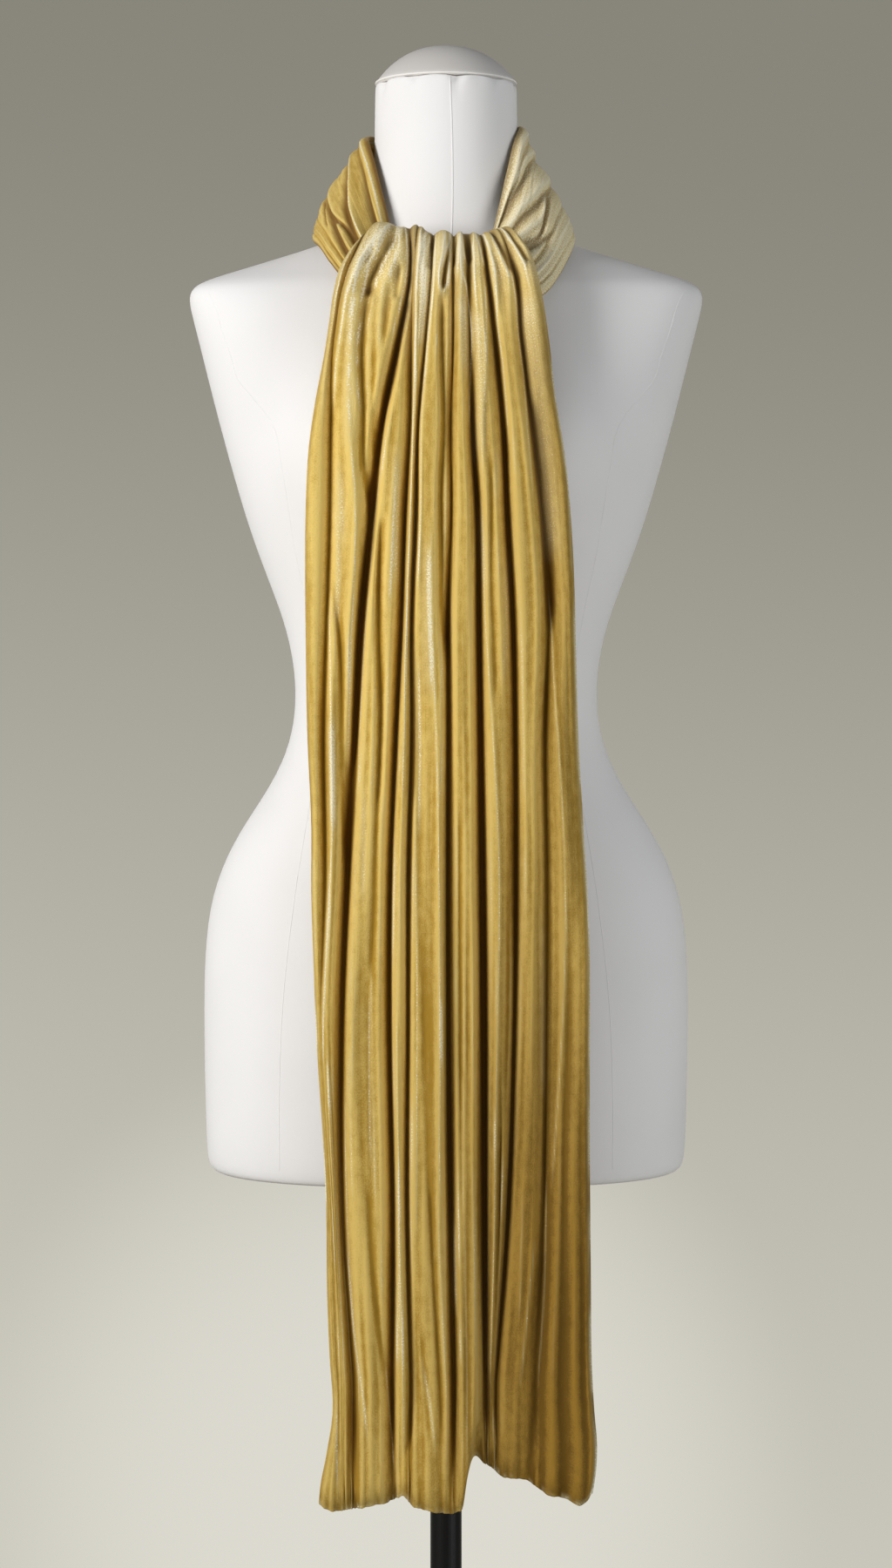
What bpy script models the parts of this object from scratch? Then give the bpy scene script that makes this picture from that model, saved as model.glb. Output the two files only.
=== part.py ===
"""A long pleated velvet scarf, worn on a limbless dress form on a round stand.

The scarf passes behind the neck, its two ends cross in front, and one end comes
up behind the crossing, rolls over it and falls straight down the front.

Tables and sizes are in millimetres and make_object turns them into metres.
+X is right as seen from the front, -Y is the front, +Z is up. The origin is the
middle of the base's underside, and the neck, the form and the pole stand on it.
"""

import math
from bisect import bisect_right
from collections import namedtuple

import bmesh
import bpy

MM = 0.001
GAP = 0.3  # clearance between two pieces that touch

# Driving sizes of the stand and the form
BASE_RADIUS = 200.0
BASE_THICKNESS = 12.0
BASE_EDGE = 3.0
POLE_RADIUS = 12.0
FOOT_RADIUS = 20.0
FOOT_HEIGHT = 18.0
FOOT_EDGE = 2.0
SOCKET_FLANGE_RADIUS = 36.0
SOCKET_FLANGE_THICKNESS = 5.0
SOCKET_RADIUS = 17.0
SOCKET_HEIGHT = 32.0
SOCKET_EDGE = 1.0
BOARD_BOTTOM = 703.0
BOARD_THICKNESS = 9.0
BOARD_SHARE = 0.9  # the board's outline as a share of the form's bottom edge
RECESS_SHARE = 0.91  # the outline of the recess that the board lies in
CAP_SEAM = 1535.0
CAP_RISE = 28.8
CAP_RADIUS = 54.0
CAP_EDGE = 1.0
CAP_FULLNESS = 2.4  # how full the dome is towards its edge
CAP_ROUNDING = 0.9
CAP_STEPS = 8
TURNED_SIDES = 40

# Driving sizes of the scarf
CLOTH = 3.0  # two layers of velvet, one on the other
NECK_CLOTH = 2.5
UNDER_CLOTH = 2.5
HEM_SWELL = 2.5  # how much thicker the closed end is than the cloth above it
SWELL_REACH = 18.0  # how far up from the end the cloth thickens

# Colours as red, green and blue from 0 to 1
VELVET_GOLD = (0.52, 0.36, 0.09)
COVER_WHITE = (0.86, 0.85, 0.84)
BOARD_GREY = (0.7, 0.69, 0.67)
STAND_BLACK = (0.02, 0.02, 0.02)

# The form, from its bottom edge to the cap seam: half its width, how far it comes
# forward and back of the pole's axis, how square its outline is (2 is an
# ellipse), and how far the ring dips at the middle of the front and of the back.
FormRing = namedtuple("FormRing", "height half_width front back square front_dip back_dip")
FORM_RINGS = [
    FormRing(707.0, 180.0, 106.0, 111.0, 2.5, 9.0, 9.0),
    FormRing(716.0, 183.0, 109.0, 115.0, 2.5, 7.0, 7.0),
    FormRing(760.0, 184.5, 113.0, 121.0, 2.4, 0.0, 0.0),
    FormRing(830.0, 185.7, 115.0, 126.0, 2.4, 0.0, 0.0),
    FormRing(885.0, 184.5, 113.0, 123.0, 2.35, 0.0, 0.0),
    FormRing(925.0, 177.0, 109.0, 113.0, 2.3, 0.0, 0.0),
    FormRing(962.0, 160.0, 103.0, 100.0, 2.2, 0.0, 0.0),
    FormRing(1000.0, 133.0, 96.0, 87.0, 2.15, 0.0, 0.0),
    FormRing(1032.0, 119.0, 91.0, 79.0, 2.1, 0.0, 0.0),
    FormRing(1062.0, 114.8, 89.0, 77.0, 2.1, 0.0, 0.0),
    FormRing(1092.0, 116.5, 91.0, 80.0, 2.1, 0.0, 0.0),
    FormRing(1125.0, 124.0, 96.0, 87.0, 2.15, 0.0, 0.0),
    FormRing(1160.0, 138.0, 103.0, 95.0, 2.2, 0.0, 0.0),
    FormRing(1200.0, 152.5, 109.0, 101.0, 2.25, 0.0, 0.0),
    FormRing(1240.0, 164.0, 112.0, 104.0, 2.3, 0.0, 0.0),
    FormRing(1280.0, 175.0, 108.0, 104.0, 2.35, 0.0, 0.0),
    FormRing(1320.0, 185.0, 94.0, 100.0, 2.45, 0.0, 0.0),
    FormRing(1350.0, 192.5, 81.0, 93.0, 2.55, 0.0, 0.0),
    FormRing(1367.0, 197.0, 73.0, 86.0, 2.6, 0.0, 0.0),
    FormRing(1377.0, 196.5, 69.0, 81.0, 2.5, 2.0, -1.0),
    FormRing(1384.0, 187.0, 66.5, 77.0, 2.4, 5.0, -2.0),
    FormRing(1393.0, 158.0, 64.0, 72.0, 2.2, 9.0, -7.0),
    FormRing(1403.0, 126.0, 62.0, 69.0, 2.1, 14.0, -12.0),
    FormRing(1412.0, 97.0, 60.0, 66.0, 2.0, 17.0, -15.0),
    FormRing(1421.0, 77.0, 58.5, 63.0, 2.0, 19.0, -16.0),
    FormRing(1432.0, 65.0, 57.0, 60.0, 2.0, 18.0, -15.0),
    FormRing(1448.0, 58.0, 56.0, 58.0, 2.0, 14.0, -11.0),
    FormRing(1475.0, 55.0, 55.5, 57.0, 2.0, 6.0, -5.0),
    FormRing(1505.0, 54.6, 55.2, 56.5, 2.0, 1.0, 0.0),
    FormRing(CAP_SEAM - GAP, 54.3, 55.0, 56.0, 2.0, 0.0, 0.0),
]
FORM_SIDES = 40
DIP_CURVE = 1.5  # how closely a ring's dip keeps to the middle of the front
BUST_HEIGHT = 1238.0
BUST_SPREAD = 84.0  # from the middle to the apex
BUST_RISE = 25.0
BUST_WIDTH = 38.0
BUST_TALLNESS = 50.0

# The front fall, from its tucked end behind the crossing, over the roll and down
# to the hem: where its back face lies, its two edges, and how deep its pleats are.
FallRow = namedtuple("FallRow", "depth height left right pleat")
FALL_ROWS = [
    FallRow(-79.5, 1396.0, -52.0, 44.0, 2.0),
    FallRow(-82.0, 1400.5, -53.0, 45.0, 3.0),
    FallRow(-87.0, 1403.5, -55.0, 46.5, 4.5),
    FallRow(-93.5, 1403.5, -58.0, 49.0, 6.0),
    FallRow(-99.0, 1400.5, -63.0, 54.0, 7.5),
    FallRow(-103.5, 1393.0, -70.0, 60.0, 8.5),
    FallRow(-106.5, 1382.0, -77.0, 65.5, 9.5),
    FallRow(-109.5, 1362.0, -82.5, 70.0, 11.0),
    FallRow(-113.5, 1340.0, -85.5, 73.5, 12.0),
    FallRow(-119.0, 1315.0, -89.0, 76.5, 13.0),
    FallRow(-125.5, 1282.0, -95.0, 80.0, 14.0),
    FallRow(-132.5, 1245.0, -100.0, 86.0, 14.0),
    FallRow(-136.0, 1205.0, -102.0, 90.0, 14.0),
    FallRow(-136.5, 1155.0, -102.5, 93.0, 14.0),
    FallRow(-136.5, 1100.0, -102.0, 94.5, 14.0),
    FallRow(-136.5, 1040.0, -101.0, 96.0, 14.0),
    FallRow(-136.5, 968.0, -98.0, 100.0, 14.0),
    FallRow(-136.5, 920.0, -98.0, 103.0, 14.0),
    FallRow(-136.5, 873.0, -96.5, 104.5, 14.0),
    FallRow(-136.5, 800.0, -93.5, 104.5, 14.0),
    FallRow(-136.5, 740.0, -89.5, 104.5, 14.0),
    FallRow(-136.5, 682.0, -87.0, 105.0, 14.0),
    FallRow(-136.5, 630.0, -86.5, 105.5, 14.0),
    FallRow(-136.5, 580.0, -84.5, 106.0, 13.0),
    FallRow(-136.5, 540.0, -82.5, 108.0, 12.0),
    FallRow(-136.5, 512.0, -87.0, 110.0, 11.0),
    FallRow(-136.5, 492.0, -91.0, 109.0, 9.0),
    FallRow(-136.5, 478.0, -92.5, 107.0, 6.0),
]

# The fall's long creases from left to right: their place across the width, in
# percent, at seven heights, half their width, and their share of the pleat depth.
Crease = namedtuple("Crease", "top chest bust waist hip knee hem half_width share")
CREASE_HEIGHTS = [1392.0, 1319.0, 1222.0, 1063.0, 873.0, 682.0, 500.0]
CREASES = [
    Crease(5, 5, 9, 7, 4, 3, 4, 2.5, 0.45),
    Crease(19, 17, 22, 18, 11, 8, 13, 5.5, 1.0),
    Crease(37, 32, 30, 27, 28, 25, 25, 5.0, 0.9),
    Crease(43, 42, 42, 38, 35, 32, 34, 3.5, 0.5),
    Crease(53, 52, 51, 52, 49, 47, 50, 4.0, 0.75),
    Crease(66, 66, 65, 64, 60, 60, 57, 6.0, 1.0),
    Crease(75, 76, 77, 77, 73, 68, 64, 4.0, 0.9),
    Crease(89, 88, 88, 88, 84, 81, 79, 4.5, 0.6),
    Crease(95, 95, 95, 95, 92, 91, 90, 2.5, 0.3),
]
FULL_WIDTH = 200.0  # the width at which a crease has the half width given
CROWN = 1.5  # how far a fold's middle stands above its sides
EDGE_TURN = 4.0  # how far the two side edges turn back

# The hem's outline: its height across the width, in percent, and how far the end
# bulges forward there.
HemPoint = namedtuple("HemPoint", "across height bulge")
HEM = [
    HemPoint(0, 478.0, 0.0),
    HemPoint(5, 473.0, 0.0),
    HemPoint(15, 477.0, 0.0),
    HemPoint(25, 481.0, 2.0),
    HemPoint(34, 474.0, 9.0),
    HemPoint(45, 472.0, 11.0),
    HemPoint(51, 474.0, 9.0),
    HemPoint(55, 489.0, 4.0),
    HemPoint(58, 503.0, 0.0),
    HemPoint(63, 505.0, 0.0),
    HemPoint(70, 497.0, 0.0),
    HemPoint(80, 489.0, 0.0),
    HemPoint(90, 480.0, 0.0),
    HemPoint(97, 477.0, 0.0),
    HemPoint(100, 485.0, 0.0),
]
HEM_REACH = 90.0  # the height over which the rows turn from level to the hem's line

# The two stretches round the neck, from the crossing to the middle of the back:
# the turn from the front, then radius and height of the top edge, of the middle
# and of the lower edge of the cloth.
NeckRow = namedtuple("NeckRow", "turn top_r top_z mid_r mid_z low_r low_z")
LEFT_ROWS = [
    NeckRow(16.0, 83.0, 1389.0, 92.0, 1375.0, 100.0, 1358.0),
    NeckRow(27.0, 79.0, 1397.0, 93.0, 1379.0, 105.0, 1360.0),
    NeckRow(34.0, 73.0, 1408.0, 95.0, 1386.0, 110.0, 1366.0),
    NeckRow(42.0, 68.0, 1430.0, 97.0, 1402.0, 113.0, 1376.0),
    NeckRow(50.0, 66.0, 1450.0, 96.0, 1418.0, 112.0, 1389.0),
    NeckRow(60.0, 63.0, 1469.0, 93.0, 1432.0, 108.0, 1402.0),
    NeckRow(75.0, 61.5, 1487.0, 90.0, 1446.0, 103.0, 1411.0),
    NeckRow(95.0, 60.0, 1495.0, 85.0, 1455.0, 98.0, 1414.4),
    NeckRow(120.0, 60.0, 1499.0, 83.0, 1459.0, 97.0, 1420.0),
    NeckRow(150.0, 61.0, 1502.0, 80.0, 1462.0, 93.0, 1422.0),
    NeckRow(180.0, 62.0, 1503.0, 78.0, 1466.0, 88.0, 1424.0),
]
RIGHT_ROWS = [
    NeckRow(14.8, 81.0, 1390.0, 92.0, 1374.0, 100.0, 1357.0),
    NeckRow(27.0, 74.0, 1408.0, 94.0, 1380.0, 106.0, 1352.0),
    NeckRow(34.0, 69.0, 1426.0, 96.0, 1390.0, 111.0, 1357.0),
    NeckRow(42.0, 66.0, 1448.0, 95.0, 1405.0, 113.0, 1367.0),
    NeckRow(50.0, 65.0, 1463.0, 92.0, 1420.0, 110.0, 1380.0),
    NeckRow(60.0, 61.0, 1484.0, 86.0, 1438.0, 106.0, 1395.0),
    NeckRow(75.0, 59.5, 1496.0, 81.5, 1451.0, 100.0, 1409.0),
    NeckRow(95.0, 58.5, 1502.0, 78.5, 1456.0, 95.0, 1416.6),
    NeckRow(120.0, 59.0, 1505.0, 78.5, 1461.0, 94.0, 1420.0),
    NeckRow(150.0, 60.5, 1505.0, 78.5, 1464.0, 92.0, 1422.0),
    NeckRow(180.0, 62.0, 1503.0, 78.0, 1466.0, 88.0, 1424.0),
]
NECK_FOLDS = 4
NECK_FOLD_RISE = 2.2
NECK_ACROSS = 17
NECK_BETWEEN = 2  # rows made from each row of the table

# The rounded solid that the crossed layers share inside the roll
CROSSING_CENTRE = (-1.0, -93.4, 1376.0)
CROSSING_HALF = (25.0, 15.5, 19.0)
CROSSING_SOFTNESS = 0.85  # under 1 pulls the ellipsoid towards a box

# The hidden end: where its back face lies and half its width, and its soft folds
UnderRow = namedtuple("UnderRow", "depth height left right")
UNDER_ROWS = [
    UnderRow(-89.0, 1355.6, -24.0, 24.0),
    UnderRow(-92.0, 1340.0, -34.0, 34.0),
    UnderRow(-100.0, 1315.0, -46.0, 46.0),
    UnderRow(-112.0, 1285.0, -58.0, 58.0),
    UnderRow(-121.3, 1257.0, -66.0, 66.0),
    UnderRow(-126.0, 1230.0, -71.0, 72.0),
    UnderRow(-127.8, 1190.0, -74.0, 76.0),
    UnderRow(-127.8, 1100.0, -76.0, 79.0),
    UnderRow(-127.8, 980.0, -76.0, 82.0),
    UnderRow(-127.8, 860.0, -75.0, 84.0),
    UnderRow(-127.8, 740.0, -72.0, 85.0),
    UnderRow(-127.8, 640.0, -70.0, 85.0),
    UnderRow(-127.8, 600.0, -71.0, 86.0),
]
UNDER_FOLDS = 7
UNDER_FOLD_RISE = 3.4
UNDER_ACROSS = 29


def between(rows, places, place):
    """The columns of a table at a place between its rows, on a smooth curve."""
    last = len(rows) - 1
    if place <= places[0]:
        return list(rows[0])
    if place >= places[last]:
        return list(rows[last])
    low = bisect_right(places, place) - 1
    span = places[low + 1] - places[low]
    t = (place - places[low]) / span
    before = max(low - 1, 0)
    after = min(low + 2, last)
    values = []
    for column in range(len(rows[0])):
        start = rows[low][column]
        end = rows[low + 1][column]
        slope_start = (end - rows[before][column]) / (places[low + 1] - places[before]) * span
        slope_end = (rows[after][column] - start) / (places[after] - places[low]) * span
        values.append(
            (2 * t**3 - 3 * t**2 + 1) * start
            + (t**3 - 2 * t**2 + t) * slope_start
            + (3 * t**2 - 2 * t**3) * end
            + (t**3 - t**2) * slope_end
        )
    return values


def soft_step(value):
    """0 below 0, 1 above 1, and a smooth rise between."""
    value = min(max(value, 0.0), 1.0)
    return value * value * (3.0 - 2.0 * value)


def make_material(name, colour, roughness, metallic=0.0):
    material = bpy.data.materials.new(name)
    material.use_nodes = True
    surface = material.node_tree.nodes["Principled BSDF"]
    surface.inputs["Base Color"].default_value = (*colour, 1.0)
    surface.inputs["Roughness"].default_value = roughness
    surface.inputs["Metallic"].default_value = metallic
    return material


def velvet(name):
    return make_material(name, VELVET_GOLD, 0.85)


def form_cover(name):
    return make_material(name, COVER_WHITE, 0.8)


def stand_paint(name):
    return make_material(name, STAND_BLACK, 0.45, 0.3)


def make_object(name, mesh_maker, material, sharp_angle=40.0):
    """Turn a bmesh in millimetres into a named object in metres."""
    bmesh.ops.scale(mesh_maker, vec=(MM, MM, MM), verts=mesh_maker.verts)
    bmesh.ops.recalc_face_normals(mesh_maker, faces=mesh_maker.faces)
    mesh = bpy.data.meshes.new(name)
    mesh_maker.to_mesh(mesh)
    mesh_maker.free()
    mesh.shade_smooth()
    mesh.set_sharp_from_angle(angle=math.radians(sharp_angle))
    mesh.materials.append(material)
    thing = bpy.data.objects.new(name, mesh)
    bpy.context.scene.collection.objects.link(thing)
    return thing


def loft_rings(rings):
    """A closed solid through closed rings of points, with a flat fan at each end."""
    maker = bmesh.new()
    made = [[maker.verts.new(point) for point in ring] for ring in rings]
    count = len(made[0])
    for lower, upper in zip(made, made[1:]):
        for side in range(count):
            following = (side + 1) % count
            maker.faces.new((lower[side], lower[following], upper[following], upper[side]))
    maker.faces.new(made[0][::-1])
    maker.faces.new(made[-1])
    return maker


def wall(front_rows, back_rows):
    """A closed wall of cloth between two grids of points of the same size."""
    maker = bmesh.new()
    front = [[maker.verts.new(point) for point in row] for row in front_rows]
    back = [[maker.verts.new(point) for point in row] for row in back_rows]
    for upper, lower in zip(front, front[1:]):
        for side in range(len(upper) - 1):
            maker.faces.new((upper[side], lower[side], lower[side + 1], upper[side + 1]))
    for upper, lower in zip(back, back[1:]):
        for side in range(len(upper) - 1):
            maker.faces.new((upper[side], upper[side + 1], lower[side + 1], lower[side]))
    front_rim = front[0][:-1] + [row[-1] for row in front][:-1]
    front_rim += front[-1][:0:-1] + [row[0] for row in front][:0:-1]
    back_rim = back[0][:-1] + [row[-1] for row in back][:-1]
    back_rim += back[-1][:0:-1] + [row[0] for row in back][:0:-1]
    for place in range(len(front_rim)):
        following = (place + 1) % len(front_rim)
        maker.faces.new(
            (front_rim[place], front_rim[following], back_rim[following], back_rim[place])
        )
    return maker


def turned(profile):
    """A ring or disc turned round the Z axis from a closed outline of (radius, height)."""
    maker = bmesh.new()
    rim = [maker.verts.new((radius, 0.0, height)) for radius, height in profile]
    edges = [maker.edges.new((a, b)) for a, b in zip(rim, rim[1:])]
    if profile[0][0] > 0.0:
        edges.append(maker.edges.new((rim[-1], rim[0])))
    bmesh.ops.spin(
        maker,
        geom=rim + edges,
        cent=(0.0, 0.0, 0.0),
        axis=(0.0, 0.0, 1.0),
        angle=2.0 * math.pi,
        steps=TURNED_SIDES,
        use_merge=True,
    )
    bmesh.ops.remove_doubles(maker, verts=maker.verts, dist=0.01)
    return maker


def bust(x, z):
    """How far the bust stands out of the torso's rings at a point of the front."""
    across = (abs(x) - BUST_SPREAD) / BUST_WIDTH
    up = (z - BUST_HEIGHT) / BUST_TALLNESS
    return BUST_RISE * math.exp(-across * across - up * up)


def form_ring(ring, shrink=1.0, height=None):
    """The points of one ring of the form, counted round from its right side."""
    points = []
    for side in range(FORM_SIDES):
        angle = 2.0 * math.pi * side / FORM_SIDES
        across = math.copysign(abs(math.cos(angle)) ** (2.0 / ring.square), math.cos(angle))
        along = math.copysign(abs(math.sin(angle)) ** (2.0 / ring.square), math.sin(angle))
        reach = ring.back if along > 0.0 else ring.front
        dip = ring.back_dip if along > 0.0 else ring.front_dip
        x = ring.half_width * across * shrink
        y = reach * along * shrink
        z = ring.height - dip * abs(along) ** DIP_CURVE if height is None else height
        if along < 0.0 and height is None:
            y -= bust(x, z) * abs(along)
        points.append((x, y, z))
    return points


def make_form_torso():
    recess_top = BOARD_BOTTOM + BOARD_THICKNESS + GAP
    rings = [
        form_ring(FORM_RINGS[0], RECESS_SHARE, recess_top),
        form_ring(FORM_RINGS[0], RECESS_SHARE, BOARD_BOTTOM),
    ]
    rings += [form_ring(ring) for ring in FORM_RINGS]
    make_object("form_torso", loft_rings(rings), form_cover("form_cover"))


def make_form_board():
    top = BOARD_BOTTOM + BOARD_THICKNESS
    rings = [form_ring(FORM_RINGS[0], BOARD_SHARE, height) for height in (BOARD_BOTTOM, top)]
    make_object("form_board", loft_rings(rings), make_material("board_cover", BOARD_GREY, 0.85))


def make_form_cap():
    """A low dome, a little fuller towards its edge than a part of a sphere."""
    profile = [(0.0, CAP_SEAM), (CAP_RADIUS - CAP_EDGE, CAP_SEAM), (CAP_RADIUS, CAP_SEAM + CAP_EDGE)]
    for step in range(1, CAP_STEPS + 1):
        share = 1.0 - step / CAP_STEPS
        rise = CAP_RISE * (1.0 - share**CAP_FULLNESS) ** CAP_ROUNDING
        profile.append((CAP_RADIUS * share, CAP_SEAM + rise))
    make_object("form_cap", turned(profile), form_cover("cap_cover"), 60.0)


def make_stand():
    base_top = BASE_THICKNESS
    foot_bottom = base_top + GAP
    board_seat = BOARD_BOTTOM - GAP
    flange_bottom = board_seat - SOCKET_FLANGE_THICKNESS
    bore = POLE_RADIUS + GAP
    base = [
        (0.0, 0.0),
        (BASE_RADIUS - BASE_EDGE, 0.0),
        (BASE_RADIUS, BASE_EDGE),
        (BASE_RADIUS, base_top - BASE_EDGE),
        (BASE_RADIUS - BASE_EDGE, base_top),
        (0.0, base_top),
    ]
    foot = [
        (bore, foot_bottom),
        (FOOT_RADIUS, foot_bottom),
        (FOOT_RADIUS, foot_bottom + FOOT_HEIGHT - FOOT_EDGE),
        (FOOT_RADIUS - FOOT_EDGE, foot_bottom + FOOT_HEIGHT),
        (bore, foot_bottom + FOOT_HEIGHT),
    ]
    pole = [
        (0.0, foot_bottom),
        (POLE_RADIUS, foot_bottom),
        (POLE_RADIUS, board_seat),
        (0.0, board_seat),
    ]
    socket = [
        (bore, board_seat - SOCKET_HEIGHT),
        (SOCKET_RADIUS - SOCKET_EDGE, board_seat - SOCKET_HEIGHT),
        (SOCKET_RADIUS, board_seat - SOCKET_HEIGHT + SOCKET_EDGE),
        (SOCKET_RADIUS, flange_bottom),
        (SOCKET_FLANGE_RADIUS, flange_bottom),
        (SOCKET_FLANGE_RADIUS, board_seat),
        (bore, board_seat),
    ]
    make_object("base_plate", turned(base), stand_paint("base_paint"))
    make_object("pole_foot", turned(foot), stand_paint("foot_paint"))
    make_object("pole", turned(pole), stand_paint("pole_paint"))
    make_object("pole_socket", turned(socket), stand_paint("socket_paint"))


def path_normals(path):
    """Unit normals of a path of (y, z), pointing out of the roll and to the front."""
    normals = []
    for place in range(len(path)):
        start = path[max(place - 1, 0)]
        end = path[min(place + 1, len(path) - 1)]
        dy = end[0] - start[0]
        dz = end[1] - start[1]
        length = math.hypot(dy, dz)
        normals.append((dz / length, -dy / length))
    return normals


def pleat_section(height, pleat):
    """The fall's section as (share across, rise of the cloth's back face) points."""
    points = [(0.0, pleat - EDGE_TURN)]
    last = 0.0
    for crease, centre in zip(CREASES, crease_places(height)):
        half = crease.half_width / FULL_WIDTH
        floor = pleat * (1.0 - crease.share)
        points.append(((last + centre - half) / 2.0, pleat + CROWN))
        points.append((centre - half, pleat - CROWN))
        points.append((centre, floor))
        points.append((centre + half, pleat - CROWN))
        last = centre + half
    points.append(((last + 1.0) / 2.0, pleat + CROWN))
    points.append((1.0, pleat - EDGE_TURN))
    return [(share, max(rise, 0.0)) for share, rise in points]


def crease_places(height):
    """Each crease's place across the fall, from 0 to 1, at one height."""
    levels = CREASE_HEIGHTS[::-1]
    places = []
    for crease in CREASES:
        columns = [(share / 100.0,) for share in crease[: len(levels)]][::-1]
        places.append(between(columns, levels, height)[0])
    return places


def hem_at(share):
    """The hem's height and bulge at a share of the width."""
    across = [point.across for point in HEM]
    columns = [(point.height, point.bulge) for point in HEM]
    return between(columns, across, share * 100.0)


def make_front_fall():
    path = [(row.depth, row.height) for row in FALL_ROWS]
    lowest = FALL_ROWS[-1].height
    front_rows = []
    back_rows = []
    roll_top = max(range(len(path)), key=lambda place: path[place][1])
    for place, (row, normal) in enumerate(zip(FALL_ROWS, path_normals(path))):
        level = CREASE_HEIGHTS[0] if place <= roll_top else row.height
        width = row.right - row.left
        low = soft_step((lowest + HEM_REACH - row.height) / HEM_REACH)
        swell = HEM_SWELL * soft_step((lowest + SWELL_REACH - row.height) / SWELL_REACH)
        front = []
        back = []
        for share, rise in pleat_section(level, row.pleat):
            hem_height, bulge = hem_at(share)
            x = row.left + share * width
            drop = (hem_height - lowest) * low
            back_rise = rise + bulge * low
            front_rise = back_rise + CLOTH + swell
            back.append(
                (x, row.depth + normal[0] * back_rise, row.height + drop + normal[1] * back_rise)
            )
            front.append(
                (x, row.depth + normal[0] * front_rise, row.height + drop + normal[1] * front_rise)
            )
        front_rows.append(front)
        back_rows.append(back)
    make_object("front_fall", wall(front_rows, back_rows), velvet("fall_velvet"))


def make_under_fall():
    path = [(row.depth, row.height) for row in UNDER_ROWS]
    front_rows = []
    back_rows = []
    for row, normal in zip(UNDER_ROWS, path_normals(path)):
        front = []
        back = []
        for step in range(UNDER_ACROSS):
            share = step / (UNDER_ACROSS - 1)
            x = row.left + share * (row.right - row.left)
            rise = UNDER_FOLD_RISE * (0.5 - 0.5 * math.cos(2.0 * math.pi * UNDER_FOLDS * share))
            reach = rise + UNDER_CLOTH
            back.append((x, row.depth + normal[0] * rise, row.height + normal[1] * rise))
            front.append((x, row.depth + normal[0] * reach, row.height + normal[1] * reach))
        front_rows.append(front)
        back_rows.append(back)
    make_object("under_fall", wall(front_rows, back_rows), velvet("under_velvet"))


def neck_section(row):
    """One section of a neck stretch: its outer and inner points as (radius, height)."""
    corners = [(row.top_r, row.top_z), (row.mid_r, row.mid_z), (row.low_r, row.low_z)]
    spine = []
    for step in range(NECK_ACROSS):
        share = step / (NECK_ACROSS - 1)
        spine.append(between(corners, [0.0, 0.5, 1.0], share))
    outer = []
    inner = []
    for step, point in enumerate(spine):
        start = spine[max(step - 1, 0)]
        end = spine[min(step + 1, len(spine) - 1)]
        dr = end[0] - start[0]
        dz = end[1] - start[1]
        length = math.hypot(dr, dz)
        share = step / (NECK_ACROSS - 1)
        rise = NECK_FOLD_RISE * (0.5 - 0.5 * math.cos(2.0 * math.pi * NECK_FOLDS * share))
        for target, reach in ((outer, rise), (inner, rise - NECK_CLOTH)):
            target.append((point[0] - dz / length * reach, point[1] + dr / length * reach))
    return outer, inner


def make_neck_stretch(name, rows, side):
    """side is -1 for the left stretch and 1 for the right one."""
    turns = [row.turn for row in rows]
    last = rows[-1]
    stations = []
    for row, following in zip(rows, rows[1:]):
        for step in range(NECK_BETWEEN):
            stations.append(row.turn + (following.turn - row.turn) * step / NECK_BETWEEN)
    stations.append(last.turn - math.degrees(GAP / 2.0 / last.top_r))
    outer_rows = []
    inner_rows = []
    for turn in stations:
        row = NeckRow(*between(rows, turns, turn))
        across = math.sin(math.radians(turn)) * side
        along = -math.cos(math.radians(turn))
        outer, inner = neck_section(row)
        outer_rows.append([(radius * across, radius * along, z) for radius, z in outer])
        inner_rows.append([(radius * across, radius * along, z) for radius, z in inner])
    make_object(name, wall(outer_rows, inner_rows), velvet(name + "_velvet"))


def make_crossing():
    """A soft lump: an ellipsoid pulled a little towards a box."""
    maker = bmesh.new()
    bmesh.ops.create_uvsphere(maker, u_segments=16, v_segments=10, radius=1.0)
    for point in maker.verts:
        place = []
        for axis in range(3):
            value = point.co[axis]
            soft = math.copysign(abs(value) ** CROSSING_SOFTNESS, value)
            place.append(CROSSING_CENTRE[axis] + CROSSING_HALF[axis] * soft)
        point.co = place
    make_object("crossing", maker, velvet("crossing_velvet"))


def clear_scene():
    for thing in list(bpy.data.objects):
        bpy.data.objects.remove(thing, do_unlink=True)


clear_scene()
make_stand()
make_form_torso()
make_form_board()
make_form_cap()
make_neck_stretch("neck_left", LEFT_ROWS, -1.0)
make_neck_stretch("neck_right", RIGHT_ROWS, 1.0)
make_crossing()
make_under_fall()
make_front_fall()
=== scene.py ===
# %% [markdown]
# # A pleated velvet scarf on a dress form
# The scarf is one long tube of velvet, pressed flat and pleated along its length.
# It goes behind the neck, its ends cross in front, and one end comes up behind the
# crossing, rolls over it and hangs down the front of a limbless dress form.
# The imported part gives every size. This lesson builds the looks round it: cloth with
# its pleats, creases and hem, the form with its seams, the stand, and the light.

import math
from collections import namedtuple

import bmesh
import bpy
import numpy as np
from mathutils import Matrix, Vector
from mathutils.bvhtree import BVHTree


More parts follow.
